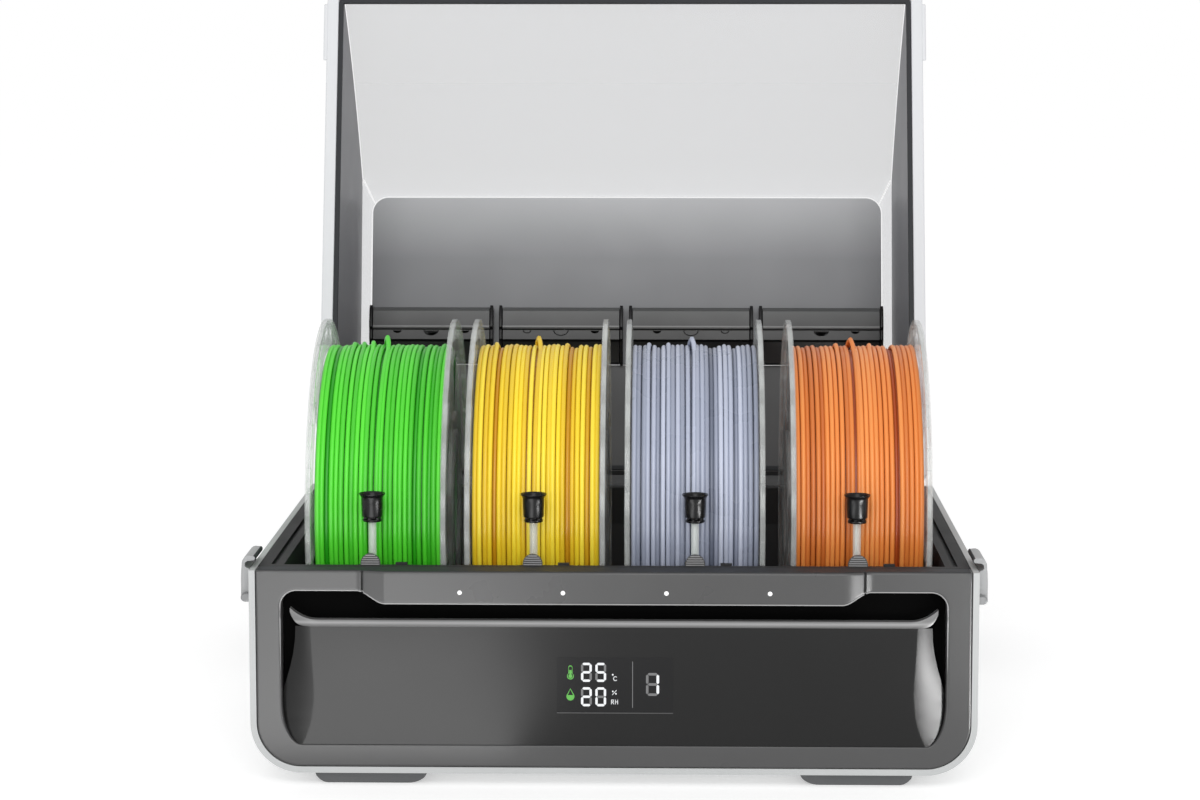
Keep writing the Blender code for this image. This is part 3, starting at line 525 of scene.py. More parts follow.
def shell():
    outside = tray_outline(0, RIM_FACE)
    inside = tray_outline(SHELL_WALL, RIM_FACE)
    walls = prism([outside + inside[::-1]], "XZ", 0, BODY_BACK)
    radius, root, width = 0.0022, 0.1850, 0.0028
    lug = [(root, LATCH_Z - radius), (LATCH_X, LATCH_Z - radius)]
    lug += arc(LATCH_X, LATCH_Z, radius, radius, -60, 90, 8) + [(root, LATCH_Z + radius)]
    parts = [slab([(x * side, z) for x, z in lug], "XZ", start, start + width)
             for side in (-1, 1) for start in (0.0049, 0.0383)]
    piece("shell_body", walls, SHELL, bevel=0.0007, segments=3, stands_for=["outer_shell"],
          slot="shell_grey")
    # The lugs' darker grey is painted shade.
    piece("latch_lugs", joined(*parts), LUG_SHADED, bevel=0.0006, segments=3, slot="shell_grey")


def step_slope(t, side):
    """Steepness of the face that joins the proud middle of the bezel to its wings."""
    if side < 0:
        return 1.0 if 0 <= t <= 1 else 0.0
    if t < 0.6:
        return max(t, 0.0) / 0.6
    return 1.0 if t < 0.88 else max(1.12 - t, 0.0) / 0.24


def step_proud(t, side):
    """How far the bezel stands proud, from 1 on its middle to 0 on its wings."""
    steps = [i / 100 for i in range(-5, 120)]
    total = sum(step_slope(u, side) for u in steps)
    return 1 - sum(step_slope(u, side) for u in steps if u < t) / total


def bezel_sections(side_sign):
    """Matching points round one half of the bezel, outside and opening, with how far each stands
    proud."""
    low, side = SHELL_BOTTOM + SHELL_WALL + GAP, HALF_WIDTH - SHELL_WALL - GAP
    radius = SHELL_CORNER - SHELL_WALL - GAP
    made = [((x, RIM_FACE), (x, OPENING_MIDDLE), 1.0)
            for x in [STEP_IN * i / 10 for i in range(10)] + [STEP_IN - 0.0012]]
    for t in [i / 20 for i in range(25)] + [-0.02, 0.742, 0.746, 0.842, 0.846]:
        x = STEP_IN + (STEP_OUT - STEP_IN) * t
        z = OPENING_MIDDLE + (OPENING_WING - OPENING_MIDDLE) * blend(t)
        groove = 0.9 if 0.744 < t < 0.844 else 0.0
        made.append(((x, RIM_FACE), (x, z), step_proud(t, side_sign) - groove))
    made.sort(key=lambda section: section[0][0])
    curve = 0.008
    corner, top = OPENING_SIDE - curve, OPENING_WING - curve
    for i in range(1, 5):
        x = STEP_OUT + 0.004 + (corner - STEP_OUT - 0.004) * i / 5
        made.append(((x, RIM_FACE), (x, OPENING_WING), 0.0))
    inner = arc(corner, top, curve, curve, 90, 0, 10)
    outer = [(corner + (side - corner) * i / 5, RIM_FACE) for i in range(6)]
    outer += [(side, RIM_FACE + (top - RIM_FACE) * i / 5) for i in range(1, 6)]
    made += [(a, b, 0.0) for a, b in zip(outer, inner)]
    narrow, tall = 0.010, 0.022
    bottom = OPENING_LOW + tall
    for i in range(1, 8):
        z = top + (bottom - top) * i / 8
        made.append(((side, z), (OPENING_SIDE, z), 0.0))
    inner = arc(OPENING_SIDE - narrow, bottom, narrow, tall, 0, -90, 16)
    outer = [(side, bottom + (low + radius - bottom) * i / 4) for i in range(4)]
    outer += arc(side - radius, low + radius, radius, radius, 0, -90, 12)
    made += [(a, b, 0.0) for a, b in zip(outer, inner)]
    for i in range(1, 9):
        t = 1 - i / 8
        made.append((((side - radius) * t, low), ((OPENING_SIDE - narrow) * t, OPENING_LOW), 0.0))
    return made


def bezel():
    right = bezel_sections(1)
    left = [((-a[0], a[1]), (-b[0], b[1]), proud)
            for a, b, proud in reversed(bezel_sections(-1)[1:-1])]
    rows = []
    back = 0.0115
    for outer, inner, proud in right + left:
        lip = 0.0004 + 0.0009 * blend((inner[1] - 0.024) / 0.012)
        outer, inner = Vector(outer), Vector(inner)
        width = (inner - outer).length
        across = (inner - outer) / width
        shift = -BEZEL_PROUD * proud
        section = [(0, back), (0, 0.0007 + shift), (0.0002, 0.0002 + shift), (0.0007, shift),
                   (0.0012, shift), (width * 0.5, shift), (width - lip - 0.0005, shift),
                   (width - lip, shift)]
        section += arc(width - lip, lip + shift, lip, lip, -60, 0, 2)
        section += [(width, 0.006), (width, back)]
        rows.append([(outer.x + across.x * s, y, outer.y + across.y * s) for s, y in section])
    piece("bezel_frame", grid(rows, True, True), BEZEL, stands_for=["front_bezel"],
          slot="bezel_grey", angle=50)
    margin, end = 0.0008, HALF_WIDTH - 0.0045
    strip = [(STEP_IN, margin - BEZEL_PROUD), (STEP_OUT, margin), (end, margin), (end, 0.0112)]
    strip = slab(mirrored(strip) + strip, "XY", RIM_FACE + 0.00005, RIM_FACE + 0.0003)
    piece("bezel_top_strip", strip, GASKET, slot="bezel_grey")
    # The bead along the opening's lip is pale grey: a painted highlight.
    upper = [section for section in left + right if section[1][1] > 0.046]
    path = []
    for outer, inner, proud in sorted(upper, key=lambda section: section[1][0]):
        inner = Vector(inner)
        out = (Vector(outer) - inner).normalized() * 0.0005
        path.append((inner.x + out.x, 0.0005 - BEZEL_PROUD * proud, inner.y + out.y))
    sides = {side: sorted((p for p in path if p[0] * side > OPENING_SIDE - 0.0015 and
                           p[2] < OPENING_WING - 0.0072), key=lambda p: p[2]) for side in (-1, 1)}
    top = [p for p in path if p not in sides[-1] and p not in sides[1]]
    path = sides[-1] + top + sides[1][::-1]
    last = len(path) - 1
    radii = [0.00042 * min(1.0, 0.05 + min(i, last - i) / 6) for i in range(last + 1)]
    piece("bezel_lip_bead", pipe(path, radii), LIP_HIGHLIGHT, slot="bezel_grey")


def light_lenses():
    pitch, shift, height = 0.0524, 0.0008, 0.101
    profile = ((0.0, -0.00335), (0.0008, -0.0033), (0.00115, -0.0030), (0.00115, -0.0010),
               (0.0, -0.0010))
    parts = [turned(profile, ((i - 1.5) * pitch + shift, 0, height), "Y", 20, closed=False)
             for i in range(SLOTS)]
    piece("indicator_lenses", joined(*parts), LENS, stands_for=["light_bar"], slot="lamp_white")


# Half width of the panel's flat face, and of the scoop beyond it, at heights up the panel.
SCOOP = ((0.02145, 0.1590, 0.1625), (0.0230, 0.1580, 0.1645), (0.0253, 0.1568, 0.1664),
         (0.0290, 0.1554, 0.1682), (0.0353, 0.1537, 0.1690), (0.0401, 0.1531, 0.1693),
         (0.0447, 0.1526, 0.1693), (0.0497, 0.1526, 0.1686), (0.0547, 0.1529, 0.1670),
         (0.0614, 0.1534, 0.1650), (0.0680, 0.1538, 0.1635), (0.0752, 0.1542, 0.1625),
         (0.0820, 0.1545, 0.1622), (0.0862, 0.1548, 0.1622))
ROLL_LOW = 0.0822


def scoop_edges(z):
    heights, flats, edges = zip(*SCOOP)
    return float(np.interp(z, heights, flats)), float(np.interp(z, heights, edges))


def scoop_depth(across, width):
    """How far a scoop falls away from the flat face, more steeply towards its outer edge."""
    return 0.11 * across + 0.07 * across * across / width


def panel_depth(z):
    return 0.0008 + 0.0022 * (z - PANEL_LOW) / (PANEL_TOP - PANEL_LOW)


def front_panel():
    rows = []
    levels = 60
    for k in range(levels + 1):
        z = PANEL_LOW + (ROLL_LOW - PANEL_LOW) * k / levels
        depth = panel_depth(z)
        flat, edge = scoop_edges(z)
        width = edge - flat
        right = [(flat * i / 16, depth) for i in range(16)] + [(flat - 0.0006, depth)]
        for i in range(25):
            across = width * i / 24
            right.append((flat + across, depth + scoop_depth(across, width)))
        right += [(edge, right[-1][1] + 0.0004), (edge, right[-1][1] + 0.006)]
        rows.append([(-x, y, z) for x, y in reversed(right[1:])] + [(x, y, z) for x, y in right])
    piece("panel_face", grid(rows), PANEL, stands_for=["front_panel"], slot="panel_black",
          thickness=-0.0006, angle=40, facing=(0, -1, 0))
    panel_roll()


def panel_roll():
    """The panel's top edge, turning back from its face and rising to a horn at each end."""
    end, horn_start = 0.1651, 0.1500
    scoop_start, scoop_width = SCOOP[-1][1] - 0.0001, 0.0077
    rows = []
    for j in range(-60, 61):
        x = end * (1 - (1 - abs(j) / 60) ** 1.5)
        horn = max(0.0, (x - horn_start) / (end - horn_start))
        low, top = ROLL_LOW + 0.0070 * horn ** 6, PANEL_TOP - 0.0008 + 0.0058 * horn ** 2.3
        depth = panel_depth(ROLL_LOW) + scoop_depth(max(0.0, x - scoop_start), scoop_width)
        section = [(depth + 0.0013 * (k / 8) ** 2 * (1 - 0.6 * horn), low + (top - low) * k / 8)
                   for k in range(9)]
        section.append((section[-1][0] + 0.005, section[-1][1]))
        rows.append([(math.copysign(x, j), y, z) for y, z in section])
    # Its grey is a highlight painted by height, not a reflection.
    piece("panel_top_roll", grid(rows), ROLL_PAINTED_HIGHLIGHT, slot="panel_black", thickness=-0.0004, angle=50,
          facing=(0, -1, 0.5))


def recess_back():
    # A near-black sheet across the back of the bezel's opening: painted shade in the recess behind
    # and above the panel.
    half = 0.1690
    rows = [[(half * (j / 20 - 1), 0.0119, z) for j in range(41)]
            for z in (0.0225, 0.0500, 0.0900, 0.1000, 0.1108)]
    piece("recess_shade_sheet", grid(rows), RECESS_SHADE, thickness=-0.0006, slot="panel_black",
          facing=(0, -1, 0))


# The display is drawn flat and laid on the panel's slope, in millimetres across from the middle
# of the box and up from the floor. A segment's ends are fractions of its digit's width and height.
SEGMENTS = {"a": ((0.12, 1), (0.88, 1)), "b": ((1, 0.94), (1, 0.56)), "c": ((1, 0.44), (1, 0.06)),
            "d": ((0.12, 0), (0.88, 0)), "e": ((0, 0.44), (0, 0.06)), "f": ((0, 0.94), (0, 0.56)),
            "g": ((0.12, 0.5), (0.88, 0.5))}
DIGITS = {"2": "abged", "5": "afgcd", "0": "abcdef", "1": "bc", "8": "abcdefg"}


def on_panel(outline, lift=0.00032, thick=0.00012):
    """A flat shape in millimetres, raised a little from the panel's slope."""
    points = [(x / 1000, z / 1000) for x, z in outline]
    verts = [(x, panel_depth(z) - lift + y, z) for y in (0, thick) for x, z in points]
    return verts, slab_faces(len(points))


def segment(x0, z0, width, height, name, thick):
    (ax, az), (bx, bz) = SEGMENTS[name]
    a = Vector((x0 + ax * width, z0 + az * height))
    b = Vector((x0 + bx * width, z0 + bz * height))
    along = (b - a).normalized()
    side = Vector((-along.y, along.x)) * thick / 2
    a, b = a + along * thick * 0.15, b - along * thick * 0.15
    point = along * thick / 2
    return [tuple(p) for p in (a - point, a + side, b + side, b + point, b - side, a - side)]


def digit(x0, z0, x1, z1, shown, thick, unlit=False):
    x0, z0, x1, z1 = x0 + thick / 2, z0 + thick / 2, x1 - thick / 2, z1 - thick / 2
    return [on_panel(segment(x0, z0, x1 - x0, z1 - z0, name, thick)) for name in SEGMENTS
            if (name in DIGITS[shown]) != unlit]


def strokes(thick, *lines):
    """Lines through points, in short straight strokes, for the unit signs."""
    made = []
    for line in lines:
        for a, b in zip(line, line[1:]):
            a, b = Vector(a), Vector(b)
            along = (b - a).normalized() * thick / 2
            side = Vector((-along.y, along.x))
            made.append(on_panel([tuple(p) for p in (a - along + side, b + along + side,
                                                     b + along - side, a - along - side)]))
    return made


def outline_ring(points, middle, inset):
    """A thin outline: the shape, with the same shape drawn smaller inside it."""
    inner = []
    for x, z in points:
        away = Vector((x - middle[0], z - middle[1]))
        away -= away.normalized() * inset
        inner.append((middle[0] + away.x, middle[1] + away.y))
    return [on_panel([a, b, d, c]) for a, b, c, d in zip(points, points[1:] + points[:1],
                                                         inner, inner[1:] + inner[:1])]


def display():
    low_x, high_x, low_z, high_z = -28.7, 30.5, 38.5, 66.8
    glass = on_panel(rounded(low_x, low_z, high_x, high_z, 0.6), 0.0002, 0.0012)
    piece("display_glass", glass, GLASS, stands_for=["display_window"], slot="display_black")
    frame_line = on_panel([(low_x, low_z - 0.5), (high_x, low_z - 0.5), (high_x, low_z - 0.05),
                           (low_x, low_z - 0.05)], 0.00025, 0.0006)
    piece("display_lower_edge", frame_line, BEZEL, slot="bezel_grey")
    places = ((-16.4, 54.3, -10.9, 64.1, "2", 1.2), (-9.1, 54.3, -3.6, 64.1, "5", 1.2),
              (-16.4, 41.7, -10.9, 51.5, "2", 1.2), (-9.1, 41.7, -3.6, 51.5, "0", 1.2),
              (16.7, 47.2, 23.4, 59.0, "1", 1.35))
    lit, dark = [], []
    for x0, z0, x1, z1, shown, thick in places:
        lit += digit(x0, z0, x1, z1, shown, thick)
        dark += digit(x0, z0, x1, z1, shown, thick * 0.95, unlit=True)
    thin = 0.30
    lit.append(on_panel(ring(-0.25, 58.0, 0.45, 10)))
    lit += strokes(thin, arc(1.1, 56.0, 0.95, 1.05, 50, 310, 8), ((-0.4, 47.7), (1.6, 49.9)))
    lit += [on_panel(ring(-0.2, 49.4, 0.42, 10)), on_panel(ring(1.4, 48.2, 0.42, 10))]
    lit += strokes(thin, ((-0.9, 42.9), (-0.9, 45.0), (0.1, 45.0), (0.1, 44.0), (-0.9, 44.0)),
                   ((-0.4, 44.0), (0.3, 42.9)), ((1.1, 42.9), (1.1, 45.0)),
                   ((2.3, 42.9), (2.3, 45.0)), ((1.1, 44.0), (2.3, 44.0)))
    piece("display_digits", joined(*lit), DIGIT, slot="lamp_white")
    dark.append(on_panel([(9.7, 41.0), (10.05, 41.0), (10.05, 64.8), (9.7, 64.8)]))
    piece("display_unlit_segments", joined(*dark), UNLIT, slot="display_black")
    x = -21.8
    neck = [(x + 0.55, 60.3), (x - 0.55, 60.3)]
    bulb = arc(x, 57.2, 1.75, 1.75, 125, 415, 14) + arc(x, 61.7, 1.05, 1.05, 0, 180, 6)
    drop = arc(x, 46.7, 2.05, 2.05, 155, 385, 14) + [(x, 50.9)]
    icons = outline_ring(bulb, (x, 59.0), 0.5) + outline_ring(drop, (x, 47.3), 0.5)
    icons.append(on_panel(arc(x, 57.2, 1.0, 1.0, 120, 420, 14) + neck))
    icons.append(on_panel(arc(x, 46.7, 1.7, 1.7, 155, 385, 14)))
    piece("display_icons", joined(*icons), ICON, slot="lamp_white")


def foot_outline(side):
    """A foot seen from the front: flat below, with a curved inner end and a sloped outer end."""
    outer = [(0.1535, SHELL_BOTTOM - GAP), (0.1525, 0.0034), (0.1508, 0.0016), (0.1487, 0.0004),
             (0.1468, 0.0)]
    inner = arc(0.1055, 0.0063, 0.0100, -0.0063, 90, 180, 9)
    return [(side * x, z) for x, z in outer + inner]


def feet():
    length = 0.030
    for tag, y in (("front", 0.006), ("rear", 0.256)):
        for name, side in SIDES:
            data = slab(foot_outline(side), "XZ", y, y + length)
            piece(f"foot_pad_{tag}_{name}", data, FOOT, bevel=0.0007, segments=3,
                  stands_for=[f"foot_{tag}_{name}"], slot="foot_grey")


def guides():
    funnel = [(0.0052, 0.1440), (0.0058, 0.1461), (0.0067, 0.1467), (0.0068, 0.1465),
              (0.0067, 0.1461), (0.0060, 0.1453), (0.00560, 0.1444), (0.00555, 0.1420),
              (0.0053, 0.1352), (0.0051, 0.1346), (0.0040, 0.1343), (0.0030, 0.1341),
              (0.0030, 0.1336), (0.0045, 0.1334), (0.0049, 0.1331), (0.0049, 0.1324),
              (0.0046, 0.1320), (0.0026, 0.1320), (0.0024, 0.1324), (0.0024, 0.1376),
              (0.0013, 0.1382), (0.0013, 0.1400), (0.0040, 0.1420)]
    clear = tube(0.0011, 0.00205, 0.1370, 0.0950)
    for i in range(SLOTS):
        centre = (slot_x(i), GUIDE_Y, 0)
        parts = [turned(funnel, centre, "Z", 48)]
        for x, y in arc(centre[0], centre[1], 0.0040, 0.0040, 15, 315, 5):
            parts.append(block((x - 0.0006, y - 0.0006, 0.1321), (x + 0.0006, y + 0.0006, 0.1341)))
        piece(f"funnel_{i + 1}", joined(*parts), SMALL_BLACK,
              stands_for=[f"inlet_funnel_{i + 1}"], slot="feeder_black", angle=40)
        piece(f"clear_tube_{i + 1}", turned(clear, centre, "Z", 32), CLEAR_TUBE,
              stands_for=[f"guide_tube_{i + 1}"], slot="clear_tube", angle=40)


def tabs():
    half = 0.0051
    shoulder = 0.1172 - half - TAB_PIVOT_Z
    outline = [(-half, -0.0016), (half, -0.0016)] + arc(0, shoulder, half, half, 0, 180, 24)
    for i in range(SLOTS):
        at = BOX @ Matrix.Translation((slot_x(i), TAB_Y, TAB_PIVOT_Z))
        parts = [slab(outline, "XZ", -0.0009, 0.0012)]
        # The ribs get a pale grey: a painted highlight on the black tab.
        ribs = []
        for k in range(7):
            z = 0.0040 + 0.00114 * k
            wide = math.sqrt(half ** 2 - max(0.0, z - shoulder) ** 2) - 0.0004
            ribs.append(block((-wide, -0.0014, z - 0.00028), (wide, -0.0008, z + 0.00028)))
        parts.append(turned(tube(0.0, 0.0012, -0.0071, 0.0071), (0, 0, 0), "X", 20,
                            closed=False))
        piece(f"tab_{i + 1}", joined(*parts), TAB_LOOK, f"release_tab_{i + 1}", at,
              bevel=0.0001, stands_for=[f"release_tab_{i + 1}"], slot="feeder_black")
        piece(f"tab_ribs_{i + 1}", joined(*ribs), TAB_RIB_HIGHLIGHT, f"release_tab_{i + 1}", at,
              bevel=0.0001, slot="feeder_black")


def latch_outline(side):
    """A hook seen from the front, as (x, height) from its pivot."""
    points = arc(LATCH_X, LATCH_Z, 0.0024, 0.0026, 180, 350, 12)
    points += [(0.1903, 0.1000), (0.1903, 0.1060), (0.19015, 0.1095), (0.18985, 0.1130)]
    points += arc(0.1862, 0.1135, 0.0036, 0.0043, 5, 90, 8)
    points += [(0.1840, 0.1176)] + arc(0.1838, 0.1163, 0.0008, 0.0011, 100, 260, 5)
    points += [(0.1868, 0.1149), (0.1880, 0.1142), (0.1883, 0.1125), (0.1875, 0.1115),
               (0.1860, 0.1110)]
    return [(side * (x - LATCH_X), z - LATCH_Z) for x, z in points]


def latches():
    half = 0.015
    for name, side in SIDES:
        at = BOX @ Matrix.Translation((side * LATCH_X, 0.023, LATCH_Z))
        outline = latch_outline(side)
        parts = [slab(outline, "XZ", -half, half)]
        grip = [(side * x, z) for x, z in ((0.0020, 0.0040), (0.00235, 0.0046), (0.00235, 0.0074),
                                           (0.0020, 0.0080))]
        parts += [slab(grip, "XZ", y - 0.0006, y + 0.0006)
                  for y in (-0.008, -0.004, 0.0, 0.004, 0.008)]
        pad = [(side * (x - LATCH_X), z - LATCH_Z) for x, z in
               arc(0.1838, 0.1163, 0.0011, 0.0014, 95, 262, 7)
               + [(0.1866, 0.1146), (0.1869, 0.1150), (0.1843, 0.1158), (0.1841, 0.1173)]]
        piece(f"latch_pad_{name}", slab(pad, "XZ", GAP - half, half - GAP), GASKET,
              f"{name}_latch", at, slot="rubber_black")
        piece(f"latch_hook_{name}", joined(*parts), HOOK, f"{name}_latch", at, bevel=0.0005,
              segments=3, stands_for=[f"{name}_latch"], slot="shell_grey")


def rear():
    outline = tray_outline(SHELL_WALL + GAP, RIM_FACE)
    holes = [rounded(-0.020, 0.034 + 0.007 * i, 0.020, 0.037 + 0.007 * i, 0.0013)
             for i in range(7)]
    holes.append(ring(OUTLET_X, PORT_Z, 0.0063, 32))
    holes.append(rounded(SOCKET_X - 0.0163, PORT_Z - 0.0073, SOCKET_X + 0.0163, PORT_Z + 0.0073,
                         0.0012))
    piece("rear_plate", prism([outline] + holes, "XZ", BODY_BACK - 0.006, BODY_BACK), BEZEL,
          bevel=0.0004, stands_for=["rear_cover"], slot="bezel_grey")
    parts = []
    for side in (-1, 1):
        for shift in (-0.009, 0.009):
            x = side * KNUCKLE_X + shift
            parts.append(block((x - 0.003, BODY_BACK - 0.001, 0.104),
                               (x + 0.003, HINGE_Y, HINGE_Z - 0.0012)))
            parts.append(turned(tube(KNUCKLE_BORE, KNUCKLE_RADIUS, -0.003, 0.003),
                                (x, HINGE_Y, HINGE_Z), "X", 28))
    piece("hinge_knuckles", joined(*parts), BEZEL, bevel=0.0003, slot="bezel_grey")
    parts = [prism([rounded(-0.026, 0.0290, 0.026, 0.0825, 0.004),
                    rounded(-0.0245, 0.0305, 0.0245, 0.0810, 0.003)], "XZ", BODY_BACK - 0.0005,
                   BODY_BACK + 0.0006)]
    for side in (-1, 1):
        for z in (0.020, 0.098):
            profile = [(0.0, 0.0008), (0.0034, 0.0008), (0.0040, 0.0), (0.0040, -0.001),
                       (0.0, -0.001)]
            parts.append(turned(profile, (side * 0.160, BODY_BACK, z), "Y", 28, closed=False))
    piece("rear_trim", joined(*parts), SMALL_BLACK, bevel=0.0002, slot="feeder_black")
    profile = [(0.0022, 0.010), (0.0041, 0.010), (0.0045, 0.0095), (0.0045, 0.007),
               (0.0073, 0.0065), (0.0075, 0.006), (0.0075, 0.0006), (0.0073, 0.0004),
               (0.0060, 0.0004), (0.0060, -0.012), (0.0022, -0.012)]
    piece("outlet_collet", turned(profile, (OUTLET_X, BODY_BACK, PORT_Z), "Y", 48), FITTING,
          stands_for=["outlet_fitting"], slot="fitting_white", angle=30)
    centres = (SOCKET_X - 0.0078, SOCKET_X + 0.0078)
    sockets = [rounded(x - 0.0055, PORT_Z - 0.0042, x + 0.0055, PORT_Z + 0.0042, 0.001)
               for x in centres]
    outline = rounded(SOCKET_X - 0.016, PORT_Z - 0.007, SOCKET_X + 0.016, PORT_Z + 0.007, 0.0012)
    parts = [prism([outline] + sockets, "XZ", 0.289, 0.2965), slab(outline, "XZ", 0.286, 0.2890)]
    for centre in centres:
        for x in [centre - 0.0030 + 0.0020 * k for k in range(4)]:
            parts += [block((x - 0.0004, 0.2888, z), (x + 0.0004, 0.2935, z + 0.0008))
                      for z in (PORT_Z - 0.0010, PORT_Z + 0.0006)]
    piece("socket_frame", joined(*parts), SMALL_BLACK, bevel=0.0002,
          stands_for=["signal_socket"], slot="feeder_black")


# ---- spools -------------------------------------------------------------------------------------
def flange(x0, x1):
    """A clear flange's web, with a ring of small slots near its rim and larger windows inside."""
    holes = [ring(0, 0, WEB_INNER, 48)]
    for count, start, end, outer, inner, steps in ((24, 3.5, 10.5, 0.0950, 0.0915, (4, 4)),
                                                   (6, 12, 48, 0.0830, 0.0500, (12, 8))):
        for k in range(count):
            a0, a1 = 360 / count * k + start, 360 / count * k + end
            holes.append(arc(0, 0, outer, outer, a0, a1, steps[0])
                         + arc(0, 0, inner, inner, a1, a0, steps[1]))
    return prism([ring(0, 0, WEB_OUTER, 128)] + holes, "YZ", x0, x1)


def strand_ring(rng, x, radius, thick, lift=0.0, lean=0.0):
    """One turn of filament round the spool's axis, a little wavy, and lifted in a loop where it
    has been pulled up."""
    phase, wave = rng.uniform(0, 6.283), rng.uniform(0.0, 0.00007)
    second, slow = rng.uniform(0, 6.283), rng.uniform(0.0, 0.00012)
    rows = []
    steps = 120
    for k in range(steps):
        angle = 2 * math.pi * k / steps
        turn = (angle + math.pi) % (2 * math.pi) - math.pi
        peak = math.exp(-(turn / 0.075) ** 2) * lift
        swing = lean * math.tanh(turn / 0.07) * (1 - abs(turn) / math.pi)
        r = radius + slow * math.sin(2 * angle + second) + peak
        shift = wave * math.sin(angle * 2 + phase) + swing
        middle = Vector((x + shift, -r * math.sin(angle), r * math.cos(angle)))
        out = Vector((0, middle.y, middle.z)).normalized()
        rows.append([middle + thick * (math.cos(a) * out + math.sin(a) * Vector((1, 0, 0)))
                     for a in turns(0, 360, 8)[:-1]])
    return grid(rows, True, True)


def winding(index, at, colour):
    """One spool's filament: a core under single turns, each with its own tone. The core and the
    sunk
    turns are painted darker: painted shade in the gaps between turns. Some turns are sunk and some
    stand up in a loop, the tallest by the middle."""
    rng = random.Random(41 + index)
    half = SPOOL_HALF - 0.0032
    # The core's low tone paints it dark: painted shade under the turns.
    parts, shaded_tones = [turned(tube(0.0403, CORE_RADIUS, half, -half), (0, 0, 0), "X", 96)], [0.02]
    count, margin = 26, 0.0013
    pitch = 2 * (half - margin) / (count - 1)
    raised = {count // 2 - 1: (0.0052, 0.0014)}
    for k in rng.sample([3, 5, 7, 9, 16, 18, 20], 2 if index else 3):
        raised[k] = (rng.uniform(0.0012, 0.0026), rng.uniform(-0.0005, 0.0005))
    sunk = rng.sample(range(2, count - 2), 4)
    for k in range(count):
        x = -half + margin + pitch * k + rng.uniform(-0.00028, 0.00028)
        radius = WOUND_RADIUS + rng.uniform(-0.0004, 0.0004)
        tone_and_shade = 0.42 + rng.uniform(-0.12, 0.2)
        # A sunk turn is also painted darker: painted shade in its gap.
        if k in sunk and k not in raised:
            radius -= WOUND_RADIUS - CORE_RADIUS
            tone_and_shade -= 0.25
        lift, lean = raised.get(k, (0.0, 0.0))
        parts.append(strand_ring(rng, x, radius, 0.00135 - 0.00012 * rng.random(), lift, lean))
        shaded_tones.append(tone_and_shade)
    obj = piece(f"wound_filament_{index + 1}", joined(*parts), FILAMENTS[colour],
                f"spool_{index + 1}", at, stands_for=[f"winding_{index + 1}"],
                slot=f"filament_{colour}", angle=50)
    values = [tone_and_shade for (verts, _), tone_and_shade in zip(parts, shaded_tones) for _ in verts]
    obj.data.attributes.new("tone_and_shade", "FLOAT", "POINT").data.foreach_set("value", values)


def spools():
    half = SPOOL_HALF
    face = half - RIM_THICK
    barrel = [(0.0275, half - 0.0004), (0.0295, half), (0.0400, half), (0.0400, -half),
              (0.0295, -half), (0.0275, -half + 0.0004)]
    rim = [(WEB_OUTER - 0.0001, 0.0), (0.0997, 0.0), (SPOOL_RADIUS, 0.0003),
           (SPOOL_RADIUS, 0.0025), (0.0997, RIM_THICK), (WEB_OUTER - 0.0001, RIM_THICK)]
    for i, (x, colour) in enumerate(zip(SPOOL_X, FILAMENTS)):
        at = BOX @ Matrix.Translation((x, SPOOL_Y, SPOOL_Z))
        parts = [flange(face + GAP, half - GAP), flange(-half + GAP, -face - GAP),
                 turned(barrel, (0, 0, 0), "X", 64)]
        parts += [turned([(r, start + h) for r, h in rim], (0, 0, 0), "X", 128)
                  for start in (face, -half)]
        piece(f"clear_spool_{i + 1}", joined(*parts), CLEAR_SPOOL, f"spool_{i + 1}", at,
              stands_for=[f"spool_{i + 1}"], slot="clear_spool", angle=30)
        winding(i, at, colour)


# ---- lid ----------------------------------------------------------------------------------------
def edge_height(reach):
    """Height of the cover's outer edge above the hinge axis, on the closed lid."""
    return 0.1400 + (CREASE_REACH - reach) * 0.09


def top_height(reach):
    """Height of the raised middle of the cover."""
    return 0.1484 + (PANEL_REACH - reach) * 0.06


def front_curve(offset, count=28):
    first = (LID_REACH + offset, 0.0030)
    handle = (0.2660 + offset, 0.0800 + offset * 0.3)
    last = (CREASE_REACH + offset * 0.4, edge_height(CREASE_REACH) + offset)
    points = []
    for i in range(count + 1):
        t = i / count
        points.append(tuple((1 - t) ** 2 * a + 2 * t * (1 - t) * b + t * t * c
                            for a, b, c in zip(first, handle, last)))
    return points


def side_outline(offset, low, back):
    """The closed lid seen from its side, grown by an offset, from a low edge and a back edge."""
    high = edge_height(back) + offset
    points = [(back, low)] + arc(back + 0.010, high - 0.010, -0.010, 0.010, 0, 90, 8)
    points += reversed(front_curve(offset))
    points.append((LID_REACH + offset, low))
    return [(-reach, height) for reach, height in points]


